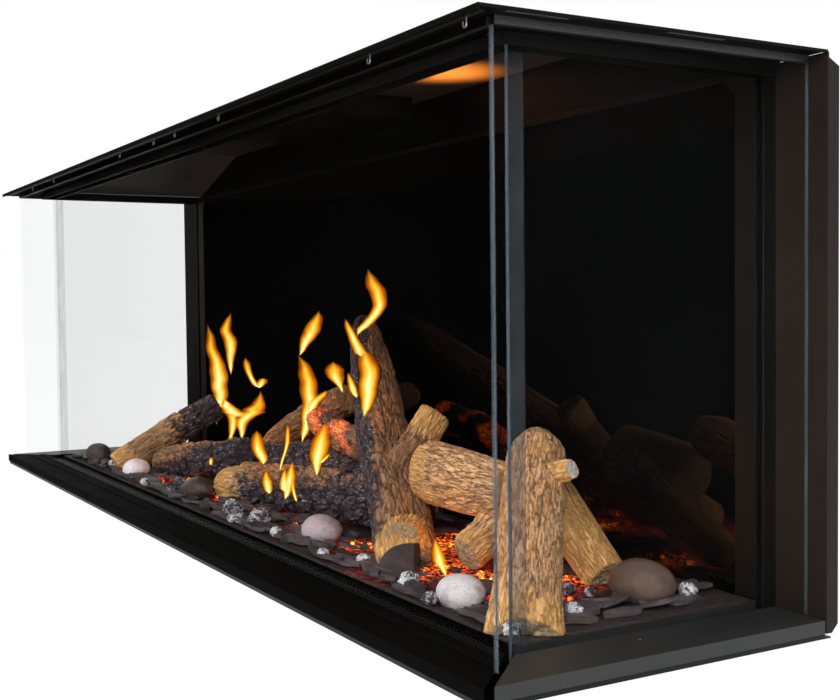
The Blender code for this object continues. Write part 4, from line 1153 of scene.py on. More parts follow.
# The casework
@dataclass
class Casework:
    """Dresses every CAD node that stays as it is."""

    tint: Colour = (0.968, 0.971, 0.971)

    def finishes(self) -> dict:
        """Make the finishes of steel, brass and plastic.

        Returns:
            The finish of each node.
        """
        black = PowderCoat("black_powder_coat", (0.0038, 0.0037, 0.0035), shine=0.22).make()
        inner = PowderCoat("heat_blackened_paint", (0.003, 0.003, 0.003), 0.6).make()
        # Painted light: the hood's warm brown tone stands in for the firelight on its inside.
        hood = PowderCoat("hood_heat_paint_painted_firelight", (0.045, 0.036, 0.031), 0.6, shine=0.3).make()
        upper = PowderCoat("channel_powder_coat", (0.0085, 0.008, 0.0072), shine=0.3).make()
        # Painted light and shade: the near right sill gets a paler copy of the sills' black for the light
        # on it, and the front sill a darker copy for the shade under the top plate.
        near = PowderCoat("near_sill_coat_painted_light", (0.02, 0.021, 0.0205), 0.45, 0.12).make()
        sill = PowderCoat("front_sill_coat_painted_shade", (0.0018, 0.0018, 0.0018), 0.8, 0.2, shine=0.03).make()
        rear = PowderCoat("rear_panel_paint", (0.0145, 0.0102, 0.0081), 0.5, 0.15, shine=0.16).make()
        # Painted light: the rear frame's warm brown tone stands in for the firelight on its jambs.
        frame = PowderCoat("rear_frame_paint_painted_firelight", (0.0095, 0.0066, 0.005), 0.4, 0.15, 0.0014, 0.3).make()
        zinc = Metal("galvanised_sheet", (0.42, 0.43, 0.44), 0.38, bloom=(0.58, 0.6, 0.62)).make()
        steel = Metal("brushed_steel", (0.5, 0.5, 0.5), 0.32, (1, 1, 0.1)).make()
        brass = Metal("turned_brass", (0.62, 0.42, 0.16), 0.27, (0.1, 1, 1)).make()
        rail = Metal("screen_rail_steel", (0.16, 0.16, 0.17), 0.4).make()
        lid = PowderCoat("lid_powder_coat", (0.0024, 0.0022, 0.002), 0.6, shine=0.1).make()
        inner_steel = "rear_wall", "hood_baffle", "burner_tray"
        zinc_nodes = "rear_casing", "service_door", "outer_flue_collar", "inner_flue_collar"
        channels = "left_top_channel", "right_top_channel", "left_side_channel", "right_side_channel"
        made = dict.fromkeys(("base_pan", "left_sill", *channels), black)
        made |= dict.fromkeys(inner_steel, inner) | dict.fromkeys(zinc_nodes, zinc)
        made |= dict.fromkeys(("left_rear_panel", "right_rear_panel"), rear)
        made |= dict.fromkeys(("burner_tube", "pilot_burner"), steel)
        made |= dict.fromkeys(("front_screen_rail", "left_screen_rail", "right_screen_rail"), rail)
        made |= {"top_plate": lid, "firebox_hood": hood, "front_top_channel": upper}
        made |= {"right_sill": near, "front_sill": sill, "rear_frame": frame}
        made |= {"gas_manifold": brass, "shutoff_valve": brass}
        return made | {
            "back_liner": BlackGlass().make(),
            "hook_strip": HookStrip().make(),
            "gas_valve": Metal("cast_valve_body", (0.55, 0.55, 0.56), 0.42).make(),
            "shutoff_lever": Moulding("yellow_lever_coat", (0.6, 0.36, 0.03)).make(),
            "valve_knob": Moulding("black_knob_plastic", (0.012, 0.012, 0.012)).make(),
            "door_latch": Moulding("latch_plastic", (0.02, 0.02, 0.02)).make(),
        }

    def glass(self) -> dict:
        """Make the finishes of the panes and the corner seals.

        Returns:
            The finish of each node.
        """
        inner = Pane("side_pane_inner", Facing.SIDE, self.tint).make()
        outer = Pane("side_pane_outer", Facing.SIDE).make()
        against_light = Seal("corner_seal_against_light", (0.84, 0.85, 0.86), (0.93, 0.94, 0.95))
        silicone = Seal(
            "corner_seal_silicone", (0.07, 0.078, 0.087), (0.125, 0.137, 0.152), (0.84, 0.865, 0.885)
        )
        return {
            "front_glass": Pane("front_pane_inner", Facing.FRONT, self.tint).make(),
            "front_screen": Pane("front_pane_outer", Facing.FRONT).make(),
            "left_glass": inner,
            "right_glass": inner,
            "left_screen": outer,
            "right_screen": outer,
            "left_corner_seal": against_light.make(),
            "right_corner_seal": silicone.make(),
        }

    def dress(self, nodes: dict) -> None:
        """Put the finishes on the nodes.

        Args:
            nodes: the CAD nodes by name.
        """
        for name, finish in (self.finishes() | self.glass()).items():
            put_finish(nodes[name], finish)
            log.info("dressed %s", name)


class Bark(Enum):
    """How a log's surface is broken up."""

    GRAIN = "long grain with shallow cracks"
    PLATES = "deep plates"
    CHAR = "burnt blocks"


@dataclass
class FireLog:
    """One ceramic log, modelled along the same line as the CAD log that it stands for."""

    name: str
    places: tuple
    girths: tuple
    radius: float
    bark: Bark
    finish: BarkFinish
    char_ends: tuple[float, float] = (0.0, 0.0)
    char_side: Point = (0.0, 0.0, 0.0)
    glow: float = 0.0
    seed: int = 1
    node: str = ""
    slot: str = "golden_bark"
    foot_flare: float = 0.0
    round_tip: bool = False
    points: tuple = ()
    gold: tuple = ()

    LENGTH = 1.788
    DEPTH = 0.384
    HEIGHT = 0.55
    BED_SHARE = 0.0345
    BED = 0.019
    RING = 0.0017
    SIDE = 0.0011

    def world(self) -> list[Vector]:
        """Place the line that the log follows.

        Returns:
            Its points.
        """
        if self.points:
            return [Vector(point) for point in self.points]
        corner = Vector((self.LENGTH / 2, -self.DEPTH / 2, self.BED - self.BED_SHARE * self.HEIGHT))
        return [
            corner + Vector((-x * self.LENGTH, y * self.DEPTH, z * self.HEIGHT))
            for x, y, z in self.places
        ]

    def relief(self, grain: np.ndarray, at: np.ndarray) -> tuple[np.ndarray, np.ndarray]:
        """Return the height of the bark and the cracks in it.

        Args:
            grain: straightened places on the log.
            at: shares of the log's length.

        Returns:
            Heights in metres, and crack shares from 0 to 1.
        """
        lumps = wander(grain, (24, 24, 9), self.seed)
        fibre = wander(grain, (330, 330, 60), self.seed)
        bent = grain.copy()
        bent[:, 0] += 0.005 * wander(grain, (30, 30, 26), self.seed + 3.0)
        bent[:, 1] += 0.005 * wander(grain, (30, 30, 26), self.seed + 9.0)
        ridge = 1 - 2 * np.abs(wander(bent, (200, 200, 34), self.seed * 2))
        fine = 1 - 2 * np.abs(wander(bent, (420, 420, 75), self.seed * 3))
        deep = 1 - 2 * np.abs(wander(bent, (46, 46, 6), self.seed * 4))
        rift = np.clip(0.8 * ease(0.66, 0.97, ridge) + 0.8 * ease(0.95, 1.0, deep), 0, 1)
        long = 0.0027 * lumps - 0.0021 * rift - 0.0008 * ease(0.4, 1, fine) + 0.0004 * fibre
        if self.bark is Bark.GRAIN:
            return long, rift
        if self.bark is Bark.PLATES:
            border, kind = cells(bent, (70, 70, 16), self.seed)
            crack = np.clip(0.7 * ease(0.62, 0.95, ridge) + 0.7 - ease(0.0, 0.12, border) * 0.7, 0, 1)
            height = 0.0024 * lumps + 0.0011 * kind + 0.0012 * ease(0, 0.3, border)
            return height - 0.0021 * crack - 0.0007 * ease(0.4, 1, fine) + 0.0005 * fibre, crack
        border, kind = cells(grain, (78, 78, 42), self.seed)
        crack = 1 - ease(0.02, 0.2, border)
        height = 0.002 * lumps + 0.0019 * kind + 0.003 * ease(0, 0.35, border)
        height += 0.0007 * fibre - 0.0012 * crack - 0.001 * ease(0.5, 1, fine)
        burnt = ease(0.15, 0.6, self.char_ends[0] + (self.char_ends[1] - self.char_ends[0]) * at)
        return long + (height - long) * burnt, rift + (crack - rift) * burnt

    def build(self) -> Piece:
        """Model the log and store what its finish reads.

        Returns:
            The log.
        """
        path = Path(self.world())
        rings = max(20, round(path.length / self.RING))
        sides = max(28, round(2 * math.pi * self.radius / self.SIDE))
        piece = unit_tube(self.name, sides, max(1, rings // 8 - 1), 7, 7)
        unit = get_points(piece)
        turn = np.arctan2(unit[:, 1], unit[:, 0])
        reach = np.hypot(unit[:, 0], unit[:, 1])
        at = np.clip(unit[:, 2] + 0.5, 0, 1)
        cap = (reach < 0.9995) | (np.abs(unit[:, 2]) > 0.49999)
        knots = np.linspace(0, 1, len(self.girths))
        girth = self.radius * np.interp(at, knots, self.girths)
        girth *= 1 + self.foot_flare * np.exp(-at * 9)
        if self.round_tip:
            girth *= np.sqrt(np.clip(1 - ease(0.9, 1.0, at) * 0.55, 0, 1))
        flat = np.stack([np.cos(turn), np.sin(turn)], axis=1) * self.radius
        grain = np.concatenate([flat, (at * path.length)[:, None]], axis=1)
        height, crack = self.relief(grain, at)
        oval = 1 + 0.07 * np.sin(2 * turn + self.seed) + 0.04 * np.sin(3 * turn + 2 * self.seed)
        edge = np.minimum(at, 1 - at) * path.length
        height *= np.where(cap, 0.6, 0.35 + 0.65 * ease(0, 0.006, edge))
        bevel = 1 - 0.07 * (1 - ease(0, 0.005, edge))
        across = reach * (girth * oval * bevel + height * np.where(cap, reach, 1.0))
        centre = path.read(path.line, at)
        side, over, along = (path.read(rows, at) for rows in (path.side, path.across, path.along))
        out = side * np.cos(turn)[:, None] + over * np.sin(turn)[:, None]
        face = flat * reach[:, None]
        face = np.concatenate([face, np.full((len(face), 1), 0.0)], axis=1)
        broken = wander(face, (110, 110, 1), self.seed * 3) * 0.0035
        broken += wander(face, (420, 420, 1), self.seed * 4) * 0.0012
        push = np.where(cap & (reach < 0.97), broken * np.sign(unit[:, 2]), 0.0)
        rows = centre + out * across[:, None] + along * push[:, None]
        rows[:, 2] = np.maximum(rows[:, 2], BED_TOP)
        set_points(piece, rows)
        toward = out @ np.array(self.char_side)
        char = self.char_ends[0] + (self.char_ends[1] - self.char_ends[0]) * at + toward
        char += 0.25 * wander(grain, (30, 30, 14), self.seed * 5)
        grain[:, :2] *= reach[:, None]
        keep_values(piece, "grain", grain + self.seed * 0.37)
        keep_values(piece, "char", np.clip(char, -1, 2))
        # The crack and crest values drive the finish's painted shade in the cracks and low places, and its
        # painted glints on the crests.
        keep_values(piece, "crack", crack * np.where(cap, 0.3, 1.0))
        keep_values(piece, "crest", np.clip(0.5 + height / 0.008, 0, 1))
        sawn = self.bark is Bark.GRAIN
        keep_values(piece, "cut", np.where(cap & (reach < 0.985) & sawn, 1.0, 0.0))
        keep_values(piece, "ring", reach)
        bare = np.zeros(len(rows))
        for x, y, z, radius in self.gold:
            away = np.linalg.norm(rows - np.array((x, y, z)), axis=1)
            bare = np.maximum(bare, np.exp(-((away / radius) ** 2) * 0.7))
        keep_values(piece, "gold", bare)
        spots = ease(-0.1, 0.45, wander(grain, (34, 34, 22), self.seed * 7))
        keep_values(piece, "glow", self.glow * spots)
        smooth(piece)
        hand_over(piece, self.finish.make(), self.node or self.name)
        return piece


@dataclass
class LogSet:
    """The eleven logs and their branch stubs."""

    golden: BarkFinish = BarkFinish("golden_bark", wood=(0.66, 0.4, 0.17), warm=(0.74, 0.38, 0.12))
    tan: BarkFinish = BarkFinish("tan_bark")
    pale_cut: BarkFinish = BarkFinish("stub_bark", wood=(0.6, 0.36, 0.14), cut_wood=(0.86, 0.76, 0.64))
    brown: BarkFinish = BarkFinish(
        "standing_bark", wood=(0.46, 0.25, 0.14), wood_dark=(0.18, 0.09, 0.052), warm=(0.46, 0.19, 0.08)
    )
    back: BarkFinish = BarkFinish(
        "back_bark", wood=(0.5, 0.27, 0.14), wood_dark=(0.2, 0.1, 0.055), warm=(0.5, 0.19, 0.08)
    )
    charred: BarkFinish = BarkFinish(
        "charred_bark", wood=(0.46, 0.25, 0.13), wood_dark=(0.17, 0.09, 0.055), warm=(0.5, 0.2, 0.09)
    )
    burnt: BarkFinish = BarkFinish(
        "end_bark", wood=(0.66, 0.42, 0.22), wood_dark=(0.3, 0.16, 0.09), warm=(0.66, 0.33, 0.13)
    )

    def logs(self) -> list[FireLog]:
        """Size the logs, whose places are shares of the window's box.

        Returns:
            The logs.
        """
        left = (-0.5, -0.87, 0.0)
        return [
            FireLog("corner_log", ((.062, .3, .02), (.116, .5, .178), (.171, .7, .304)),
                    (1.1, 1.05, 1.02), .0297, Bark.GRAIN, self.tan, (-0.6, -0.35), seed=1,
                    foot_flare=0.14, round_tip=True,
                    gold=((.783, -.0768, .012, .042), (.636, .045, .154, .016))),
            FireLog("cut_log", ((.194, .53, .072), (.196, .62, .11), (.198, .72, .15)),
                    (1.0, 1.0, .95), .0233, Bark.GRAIN, self.tan, (-0.5, -0.5), seed=2,
                    gold=((.547, .012, .04, .028),)),
            FireLog("golden_log", ((.123, .78, .045), (.165, .8, .13), (.205, .83, .215)),
                    (.95, 1.05, .95), .0253, Bark.GRAIN, self.golden, (-0.5, -0.4), seed=3,
                    gold=((.674, .1, .03, .05), (.63, .11, .075, .04))),
            FireLog("centre_log", ((.183, .655, .192), (.225, .635, .2), (.268, .61, .207)),
                    (.9, 1.0, 1.05), .0358, Bark.GRAIN, self.tan, (-0.5, -0.4), seed=4,
                    gold=((.413, .03, .085, .03), (.425, .02, .125, .022), (.45, .03, .085, .02))),
            FireLog("standing_log",
                    ((.228, .43, .02), (.303, .57, .165), (.375, .7, .293), (.49, .92, .53)),
                    (1.0, 1.0, .9, .58), .0363, Bark.PLATES, self.brown, (-0.35, 0.5),
                    tuple(v * 1.1 for v in left), seed=5, slot="brown_bark", round_tip=True,
                    gold=((.47, -.03, .035, .03),)),
            FireLog("front_charred_log", ((.545, .50, .078), (.44, .55, .098), (.335, .6, .11)),
                    (.95, 1.05, 1.0), .0288, Bark.CHAR, self.charred, (0.6, 1.0), (0, 0, -0.5),
                    seed=6, slot="charred_bark", gold=((-.09, -.012, .042, .034),)),
            FireLog("middle_charred_log", ((.645, .71, .085), (.53, .755, .125), (.415, .78, .16)),
                    (1.0, 1.08, .9), .0297, Bark.CHAR, self.charred, (0.7, 1.0), seed=7,
                    slot="charred_bark"),
            FireLog("left_charred_log", ((.755, .48, .07), (.68, .54, .1), (.595, .6, .145)),
                    (.95, 1.05, .85), .0258, Bark.CHAR, self.charred, (0.3, 1.0), (0, 0, -0.3),
                    seed=8, slot="charred_bark"),
            FireLog("end_log", ((.785, .3, .05), (.78, .52, .14), (.765, .78, .24)),
                    (1.0, 1.1, .85), .0238, Bark.CHAR, self.burnt, (-0.6, 1.3), seed=9,
                    slot="charred_bark", gold=((-.5096, -.077, .028, .035),)),
            FireLog("back_log",
                    ((.7, .86, .03), (.65, .87, .15), (.58, .87, .24), (.5, .87, .315)),
                    (1.0, 1.0, 1.05, .9), .0258, Bark.PLATES, self.back, (0.2, 0.0), seed=10,
                    slot="brown_bark"),
            FireLog("glowing_log", ((.495, .72, .26), (.45, .715, .235), (.4, .71, .215)),
                    (.9, 1.0, .95), .0228, Bark.CHAR, self.back, (0.4, 0.4), glow=0.9, seed=11,
                    slot="brown_bark"),
        ]

    def stubs(self) -> list[FireLog]:
        """Size the branch stubs and the broken end.

        Returns:
            The stubs.
        """
        return [
            FireLog("corner_log_stub", (), (1.5, 1.1, 1.0), 0.0098, Bark.GRAIN, self.pale_cut,
                    (-0.5, -0.5), seed=12, node="corner_log",
                    points=((0.648, 0.042, 0.137), (0.668, 0.0455, 0.143), (0.69, 0.05, 0.149)),
                    gold=((.68, .048, .146, .04),)),
            FireLog("standing_log_branch", (), (1.3, 1.05, 0.97), 0.0212, Bark.GRAIN, self.brown,
                    (-0.5, -0.3), seed=13, node="standing_log",
                    points=((0.352, 0.03, 0.099), (0.352, 0.058, 0.139), (0.352, 0.087, 0.18)),
                    gold=((.36, .08, .178, .03),)),
            FireLog("standing_log_knot", (), (1.0, 1.02, 0.84), 0.0265, Bark.GRAIN, self.tan,
                    (-0.5, -0.5), seed=14, node="standing_log",
                    points=((0.43, 0.004, 0.046), (0.455, -0.016, 0.05), (0.476, -0.033, 0.051)),
                    gold=((.472, -.03, .05, .045),)),
            FireLog("front_charred_log_break", (), (0.98, 1.06, 0.84), 0.0285, Bark.PLATES,
                    self.burnt, (0.8, -0.9), seed=15, node="front_charred_log",
                    points=((-0.03, 0.004, 0.047), (-0.075, -0.008, 0.043), (-0.111, -0.023, 0.04)),
                    gold=((-.1, -.02, .04, .036),)),
        ]

    def build(self) -> None:
        """Build every log."""
        for item in self.logs() + self.stubs():
            item.build()


@dataclass
class Stone:
    """One moulded pebble."""

    name: str
    centre: tuple[float, float]
    half: Point
    finish: StoneFinish
    slot: str
    seed: int

    SIT = 0.72

    def build(self) -> Piece:
        """Model the pebble from a fine sphere, uneven and flat below.

        Returns:
            The pebble.
        """
        piece = ball(self.name, 6)
        rows = get_points(piece)
        uneven = 1 + 0.09 * wander(rows, (0.9, 0.9, 0.9), self.seed)
        uneven += 0.02 * wander(rows, (3.1, 3.1, 3.1), self.seed)
        rows *= uneven[:, None]
        rows *= np.array(self.half)
        rows[:, 2] = np.maximum(rows[:, 2] + self.half[2] * self.SIT, 0)
        set_points(piece, rows + (*self.centre, BED_TOP))
        smooth(piece)
        hand_over(piece, self.finish.make(), self.name)
        return piece


@dataclass
class StoneSet:
    """The six pebbles, and the cut stone before the logs."""

    cut_left: tuple[float, float] = (0.483, -0.0665)
    cut_right: tuple[float, float] = (0.5155, -0.0385)
    cut_height: float = 0.034
    cut_depth: float = 0.026

    def stones(self) -> list[Stone]:
        """Size the pebbles.

        Returns:
            The pebbles.
        """
        brown = StoneFinish(
            "brown_pebble_glaze", (0.12, 0.075, 0.058), (0.15, 0.1, 0.078), rough=0.42
        )
        pale = StoneFinish("pale_pebble_glaze", (0.66, 0.6, 0.61), (0.3, 0.23, 0.22), (0.48, 0.7))
        white = StoneFinish("white_pebble_glaze", (0.46, 0.36, 0.38), (0.22, 0.16, 0.16), (0.5, 0.7))
        dark = StoneFinish("dark_pebble_glaze", (0.045, 0.032, 0.026), (0.09, 0.06, 0.045), rough=0.4)
        pink = StoneFinish("pink_pebble_glaze", (0.96, 0.84, 0.87), (0.82, 0.68, 0.72))
        grey = StoneFinish("grey_pebble_glaze", (0.07, 0.055, 0.05), (0.12, 0.1, 0.09))
        return [
            Stone("brown_pebble", (0.7393, 0.0979), (.0365, .031, .0235), brown, "brown_stone", 1),
            Stone("pale_pebble", (0.6669, -0.071), (.0285, .0235, .0185), pale, "pale_stone", 2),
            Stone("white_pebble", (0.2897, -0.0442), (.0295, .0245, .0192), white, "white_stone", 3),
            Stone("dark_pebble", (-0.127, -0.0595), (.0325, .0278, .019), dark, "dark_stone", 4),
            Stone("pink_pebble", (-0.4256, -0.0672), (.0297, .0236, .0176), pink, "pink_stone", 5),
            Stone("end_pebble", (-0.6723, -0.0672), (.0257, .0234, .02), grey, "dark_stone", 6),
        ]

    def cut_stone(self) -> None:
        """Model the sawn stone: flat below, in front and at its right, curved over its back."""
        piece = fine_cube("cut_stone", 15)
        rows = get_points(piece)
        along, back, up = ((rows + 1) / 2).T
        top = np.sqrt(np.clip(1 - (1 - along * 0.97) ** 2.1, 0, 1)) * (1 - 0.12 * back)
        start, end = (np.array((*spot, BED_TOP)) for spot in (self.cut_left, self.cut_right))
        ahead = (end - start) / np.linalg.norm(end - start)
        inward = np.array((-ahead[1], ahead[0], 0.0)) * self.cut_depth
        rows = start + np.outer(along, end - start) + np.outer(back * (1 - 0.2 * up), inward)
        rows[:, 2] += up * top * self.cut_height
        rows += wander(rows, (60, 60, 60), 4.0)[:, None] * (0.0006, 0.0006, 0.0)
        set_points(piece, rows)
        bevel(piece, 0.0012, 2, math.radians(40))
        smooth(piece, math.radians(35))
        stone = StoneFinish("cut_stone_glaze", (0.045, 0.036, 0.036), (0.07, 0.057, 0.056), rough=0.6)
        hand_over(piece, stone.make())

    def build(self) -> None:
        """Build every stone."""
        for item in self.stones():
            item.build()
        self.cut_stone()


@dataclass(frozen=True)
class ChipZone:
    """A stretch of the bed with slate chips that lie about one way."""

    name: str
    count: int
    across: tuple[float, float]
    deep: tuple[float, float]
    turn: float
    longs: tuple[float, float]


@dataclass
class EmberBed:
    """The ember floor with slate chips, bright nuggets and glowing wool on it."""

    half: tuple[float, float] = (0.8033, 0.1465)
    middle: float = 0.0452
    under: float = 0.0126
    top: float = 0.0188
    loose_top: float = 0.0195
    step: float = 0.0042
    lump: float = 0.0016
    chip_widest: float = 0.0075
    chip_thickness: tuple[float, float] = (0.0016, 0.0034)
    chip_lift: float = 0.004
    chip_edge: float = 0.0003
    chip_border: tuple[float, float] = (0.79, -0.0985)
    tufts: int = 9
    tuft_size: tuple[float, float] = (0.0028, 0.0062)
    tuft_border: tuple[float, float] = (-0.09, 0.17)
    zones: tuple[ChipZone, ...] = (
        ChipZone("slate_chips_front", 120, (-0.78, 0.78), (-0.094, -0.068), 0.0, (0.014, 0.03)),
        ChipZone("slate_chips_right", 42, (0.72, 0.787), (-0.09, 0.175), math.pi / 2, (0.018, 0.031)),
        ChipZone("slate_chips_left", 34, (-0.787, -0.72), (-0.09, 0.175), math.pi / 2, (0.018, 0.031)),
        ChipZone("slate_chips_middle", 95, (-0.7, 0.7), (-0.06, 0.0), 0.3, (0.01, 0.02)),
        ChipZone("slate_chips_back", 60, (-0.7, 0.72), (0.1, 0.17), 0.0, (0.011, 0.024)),
    )
    hot_spots: tuple = (
        (0.345, -0.02, 0.034), (0.501, -0.022, 0.06), (0.586, 0.017, 0.05), (0.642, -0.008, 0.03),
        (0.625, 0.077, 0.05), (-0.357, -0.052, 0.035), (0.631, 0.132, 0.05), (0.674, 0.026, 0.03),
        (0.487, 0.006, 0.05), (0.2, -0.04, 0.022), (0.05, -0.03, 0.018), (-0.1, -0.03, 0.015),
        (-0.3, 0.0, 0.02), (-0.5, 0.02, 0.015), (0.4, 0.08, 0.07), (0.1, 0.1, 0.08), (-0.2, 0.11, 0.09),
    )
    nuggets: tuple = (
        (0.783, -0.089, 0.0115), (0.764, -0.006, 0.0098), (0.69, 0.044, 0.0085), (0.705, 0.06, 0.0062),
        (0.45, -0.067, 0.0092), (0.574, -0.078, 0.0118), (0.648, -0.0955, 0.0088), (0.762, 0.14, 0.01),
        (-0.239, -0.051, 0.012), (0.033, -0.066, 0.0128), (0.145, -0.072, 0.0134),
        (-0.303, -0.09, 0.0083), (-0.38, -0.085, 0.007), (0.235, -0.084, 0.0085),
        (0.385, -0.088, 0.0075), (-0.18, -0.086, 0.0095), (-0.56, -0.07, 0.0095),
        (-0.6, -0.02, 0.008), (0.1, -0.092, 0.007), (-0.72, 0.02, 0.011), (-0.74, -0.06, 0.009),
        (0.076, -0.08, 0.0155), (0.165, -0.078, 0.017), (-0.168, -0.04, 0.014), (0.118, -0.086, 0.01),
    )
    dull_nuggets: tuple = (2, 6, 8, 12, 15, 21, 22, 23, 24)

    def hot(self, x: np.ndarray, y: np.ndarray) -> np.ndarray:
        """Read how hot the bed is.

        Args:
            x: places along the window.
            y: places to the back.

        Returns:
            The heat at each place, from 0 to 1.
        """
        heat = np.zeros(len(x))
        for at_x, at_y, reach in self.hot_spots:
            heat = np.maximum(heat, np.exp(-((x - at_x) ** 2 + (y - at_y) ** 2) / reach**2 * 1.6))
        return heat

    def floor(self) -> None:
        """Model the ember floor as a closed, uneven slab."""
        deselect()
        counts = [round(2 * half / self.step) for half in self.half]
        bpy.ops.mesh.primitive_grid_add(x_subdivisions=counts[0], y_subdivisions=counts[1], size=2)
        piece = bpy.context.object
        piece.name = "ember_floor"
        bpy.ops.object.mode_set(mode="EDIT")
        bpy.ops.mesh.select_all(action="SELECT")
        bpy.ops.mesh.extrude_region_move(TRANSFORM_OT_translate={"value": (0, 0, -1)})
        bpy.ops.mesh.select_all(action="SELECT")
        bpy.ops.mesh.normals_make_consistent(inside=False)
        bpy.ops.object.mode_set(mode="OBJECT")
        rows = get_points(piece)
        upper = rows[:, 2] > -0.5
        rows[:, 0] *= self.half[0]
        rows[:, 1] = self.middle + rows[:, 1] * self.half[1]
        rough = np.zeros(len(rows))
        flat = rows[upper] * np.array((1, 1, 0))
        rough[upper] = 0.6 * wander(flat, (60, 60, 1), 3.0) + 0.5 * wander(flat, (170, 170, 1), 8.0)
        rows[:, 2] = np.where(upper, self.top + self.lump * rough, self.under)
        set_points(piece, rows)
        keep_values(piece, "glow", self.hot(rows[:, 0], rows[:, 1]))
        smooth(piece)
        hand_over(piece, EmberFinish("ember_floor_finish").make(), "ember_bed")

    def chip_shapes(self, chance: random.Random) -> list[Piece]:
        """Model a few slate chips, each a thin split shard with uneven edges.

        Args:
            chance: where the random draws come from.

        Returns:
            The shapes, of about half size 1.
        """
        shapes = []
        for number in range(6):
            deselect()
            bpy.ops.mesh.primitive_cube_add(size=2)
            chip = bpy.context.object
            chip.name = f"chip_shape_{number}"
            bpy.ops.object.mode_set(mode="EDIT")
            pick(chip, Part.EDGE, lambda edge: abs(edge.verts[0].co.x - edge.verts[1].co.x) > 1)
            bpy.ops.mesh.subdivide(number_cuts=3)
            pick(chip, Part.EDGE, lambda edge: abs(edge.verts[0].co.y - edge.verts[1].co.y) > 1)
            bpy.ops.mesh.subdivide(number_cuts=1)
            bpy.ops.object.mode_set(mode="OBJECT")
            rows = get_points(chip)
            taper = [1 - 0.5 * abs(x) ** chance.uniform(1.5, 4) for x in rows[:, 0]]
            rows[:, 1] *= np.array(taper)
            key = {}
            for row in rows:
                spot = (round(row[0], 2), round(row[1], 2))
                key.setdefault(spot, [chance.uniform(-0.16, 0.16) for _ in range(3)])
                shift = key[spot]
                row[0] += shift[0] * 0.6
                row[1] += shift[1]
                row[2] *= 1 + shift[2] - 0.25 * abs(row[0])
            set_points(chip, rows)
            shapes.append(chip)
        return shapes

    def chip_place(self, zone: ChipZone, chance: random.Random) -> Matrix:
        """Draw the size and the place of one chip.

        Args:
            zone: where it lies.
            chance: where the random draws come from.

        Returns:
            Its place, turn and scale.
        """
        long = chance.uniform(*zone.longs)
        wide = min(long * chance.uniform(0.2, 0.36), self.chip_widest)
        thick = chance.uniform(*self.chip_thickness)
        turn = zone.turn + chance.gauss(0, 0.32)
        reach = abs(math.cos(turn)) * long
        deep = abs(math.sin(turn)) * long + abs(math.cos(turn)) * wide
        x = chance.uniform(zone.across[0] + reach, zone.across[1] - reach)
        y = max(chance.uniform(*zone.deep), self.chip_border[1] + deep)
        x = min(max(x, -self.chip_border[0] + reach), self.chip_border[0] - reach)
        z = self.loose_top + thick + chance.uniform(0, self.chip_lift)
        return (
            Matrix.Translation((x, y, z))
            @ Matrix.Rotation(turn, 4, "Z")
            @ Matrix.Rotation(chance.gauss(0, 0.09), 4, "Y")
            @ Matrix.Rotation(chance.gauss(0, 0.14), 4, "X")
            @ Matrix.Diagonal((long, wide, thick, 1))
        )

    def chips(self) -> None:
        """Scatter slate chips along the edges of the bed and between the stones."""
        chance = random.Random(11)
        shapes = self.chip_shapes(chance)
        purple = SlateFinish("slate_purple").make()
        dark = SlateFinish("slate_dark", (0.05, 0.046, 0.05), (0.028, 0.026, 0.03)).make()
        brown = SlateFinish("slate_brown", (0.095, 0.072, 0.062), (0.06, 0.045, 0.04)).make()
        for zone in self.zones:
            made = []
            for _ in range(zone.count):
                place = self.chip_place(zone, chance)
                chip = copy_at(shapes[chance.randrange(len(shapes))], place)
                put_finish(chip, chance.choice((purple, purple, purple, dark, brown)))
                made.append(chip)
            piece = join(zone.name, made)
            bevel(piece, self.chip_edge, 1, math.radians(30))
            smooth(piece, math.radians(28))
            hand_over(piece, None)
        discard(shapes)

    def crumpled(self, name: str, level: int, depth: float, seed: float) -> Piece:
        """Model one crumpled lump of radius 1.

        Args:
            name: the object's name.
            level: how finely it is divided.
            depth: how deep its folds are.
            seed: where its noise starts.

        Returns:
            The lump.
        """
        lump = ball(name, level)
        rows = get_points(lump)
        border, kind = cells(rows, (2.6, 2.6, 2.6), seed)
        swell = 0.1 * wander(rows, (1.1, 1.1, 1.1), seed) + depth * ease(0, 0.5, border)
        swell += depth * 0.5 * wander(rows, (6, 6, 6), seed)
        rows *= (0.86 + swell)[:, None]
        set_points(lump, rows)
        smooth(lump, math.radians(60))
        return lump

    def bright_nuggets(self) -> None:
        """Lay the bright crinkled nuggets on the bed."""
        chance = random.Random(5)
        shapes = [self.crumpled(f"nugget_shape_{n}", 4, 0.2, 3.0 * n + 1) for n in range(4)]
        white = NuggetFinish("nugget_bright").make()
        dull = NuggetFinish("nugget_dull", (0.55, 0.52, 0.57), (0.07, 0.058, 0.072), (0.8, 0.92)).make()
        made = []
        for number, (x, y, size) in enumerate(self.nuggets):
            turn = Matrix.Rotation(chance.uniform(0, 6.28), 4, (0.3, 0.5, 0.8))
            scale = Matrix.Diagonal((size, size * 0.95, size * 0.82, 1))
            place = Matrix.Translation((x, y, self.top + size * 0.8)) @ scale @ turn
            nugget = copy_at(shapes[number % 4], place)
            put_finish(nugget, dull if number in self.dull_nuggets else white)
            made.append(nugget)
        hand_over(join("bright_nuggets", made), None)
        discard(shapes)

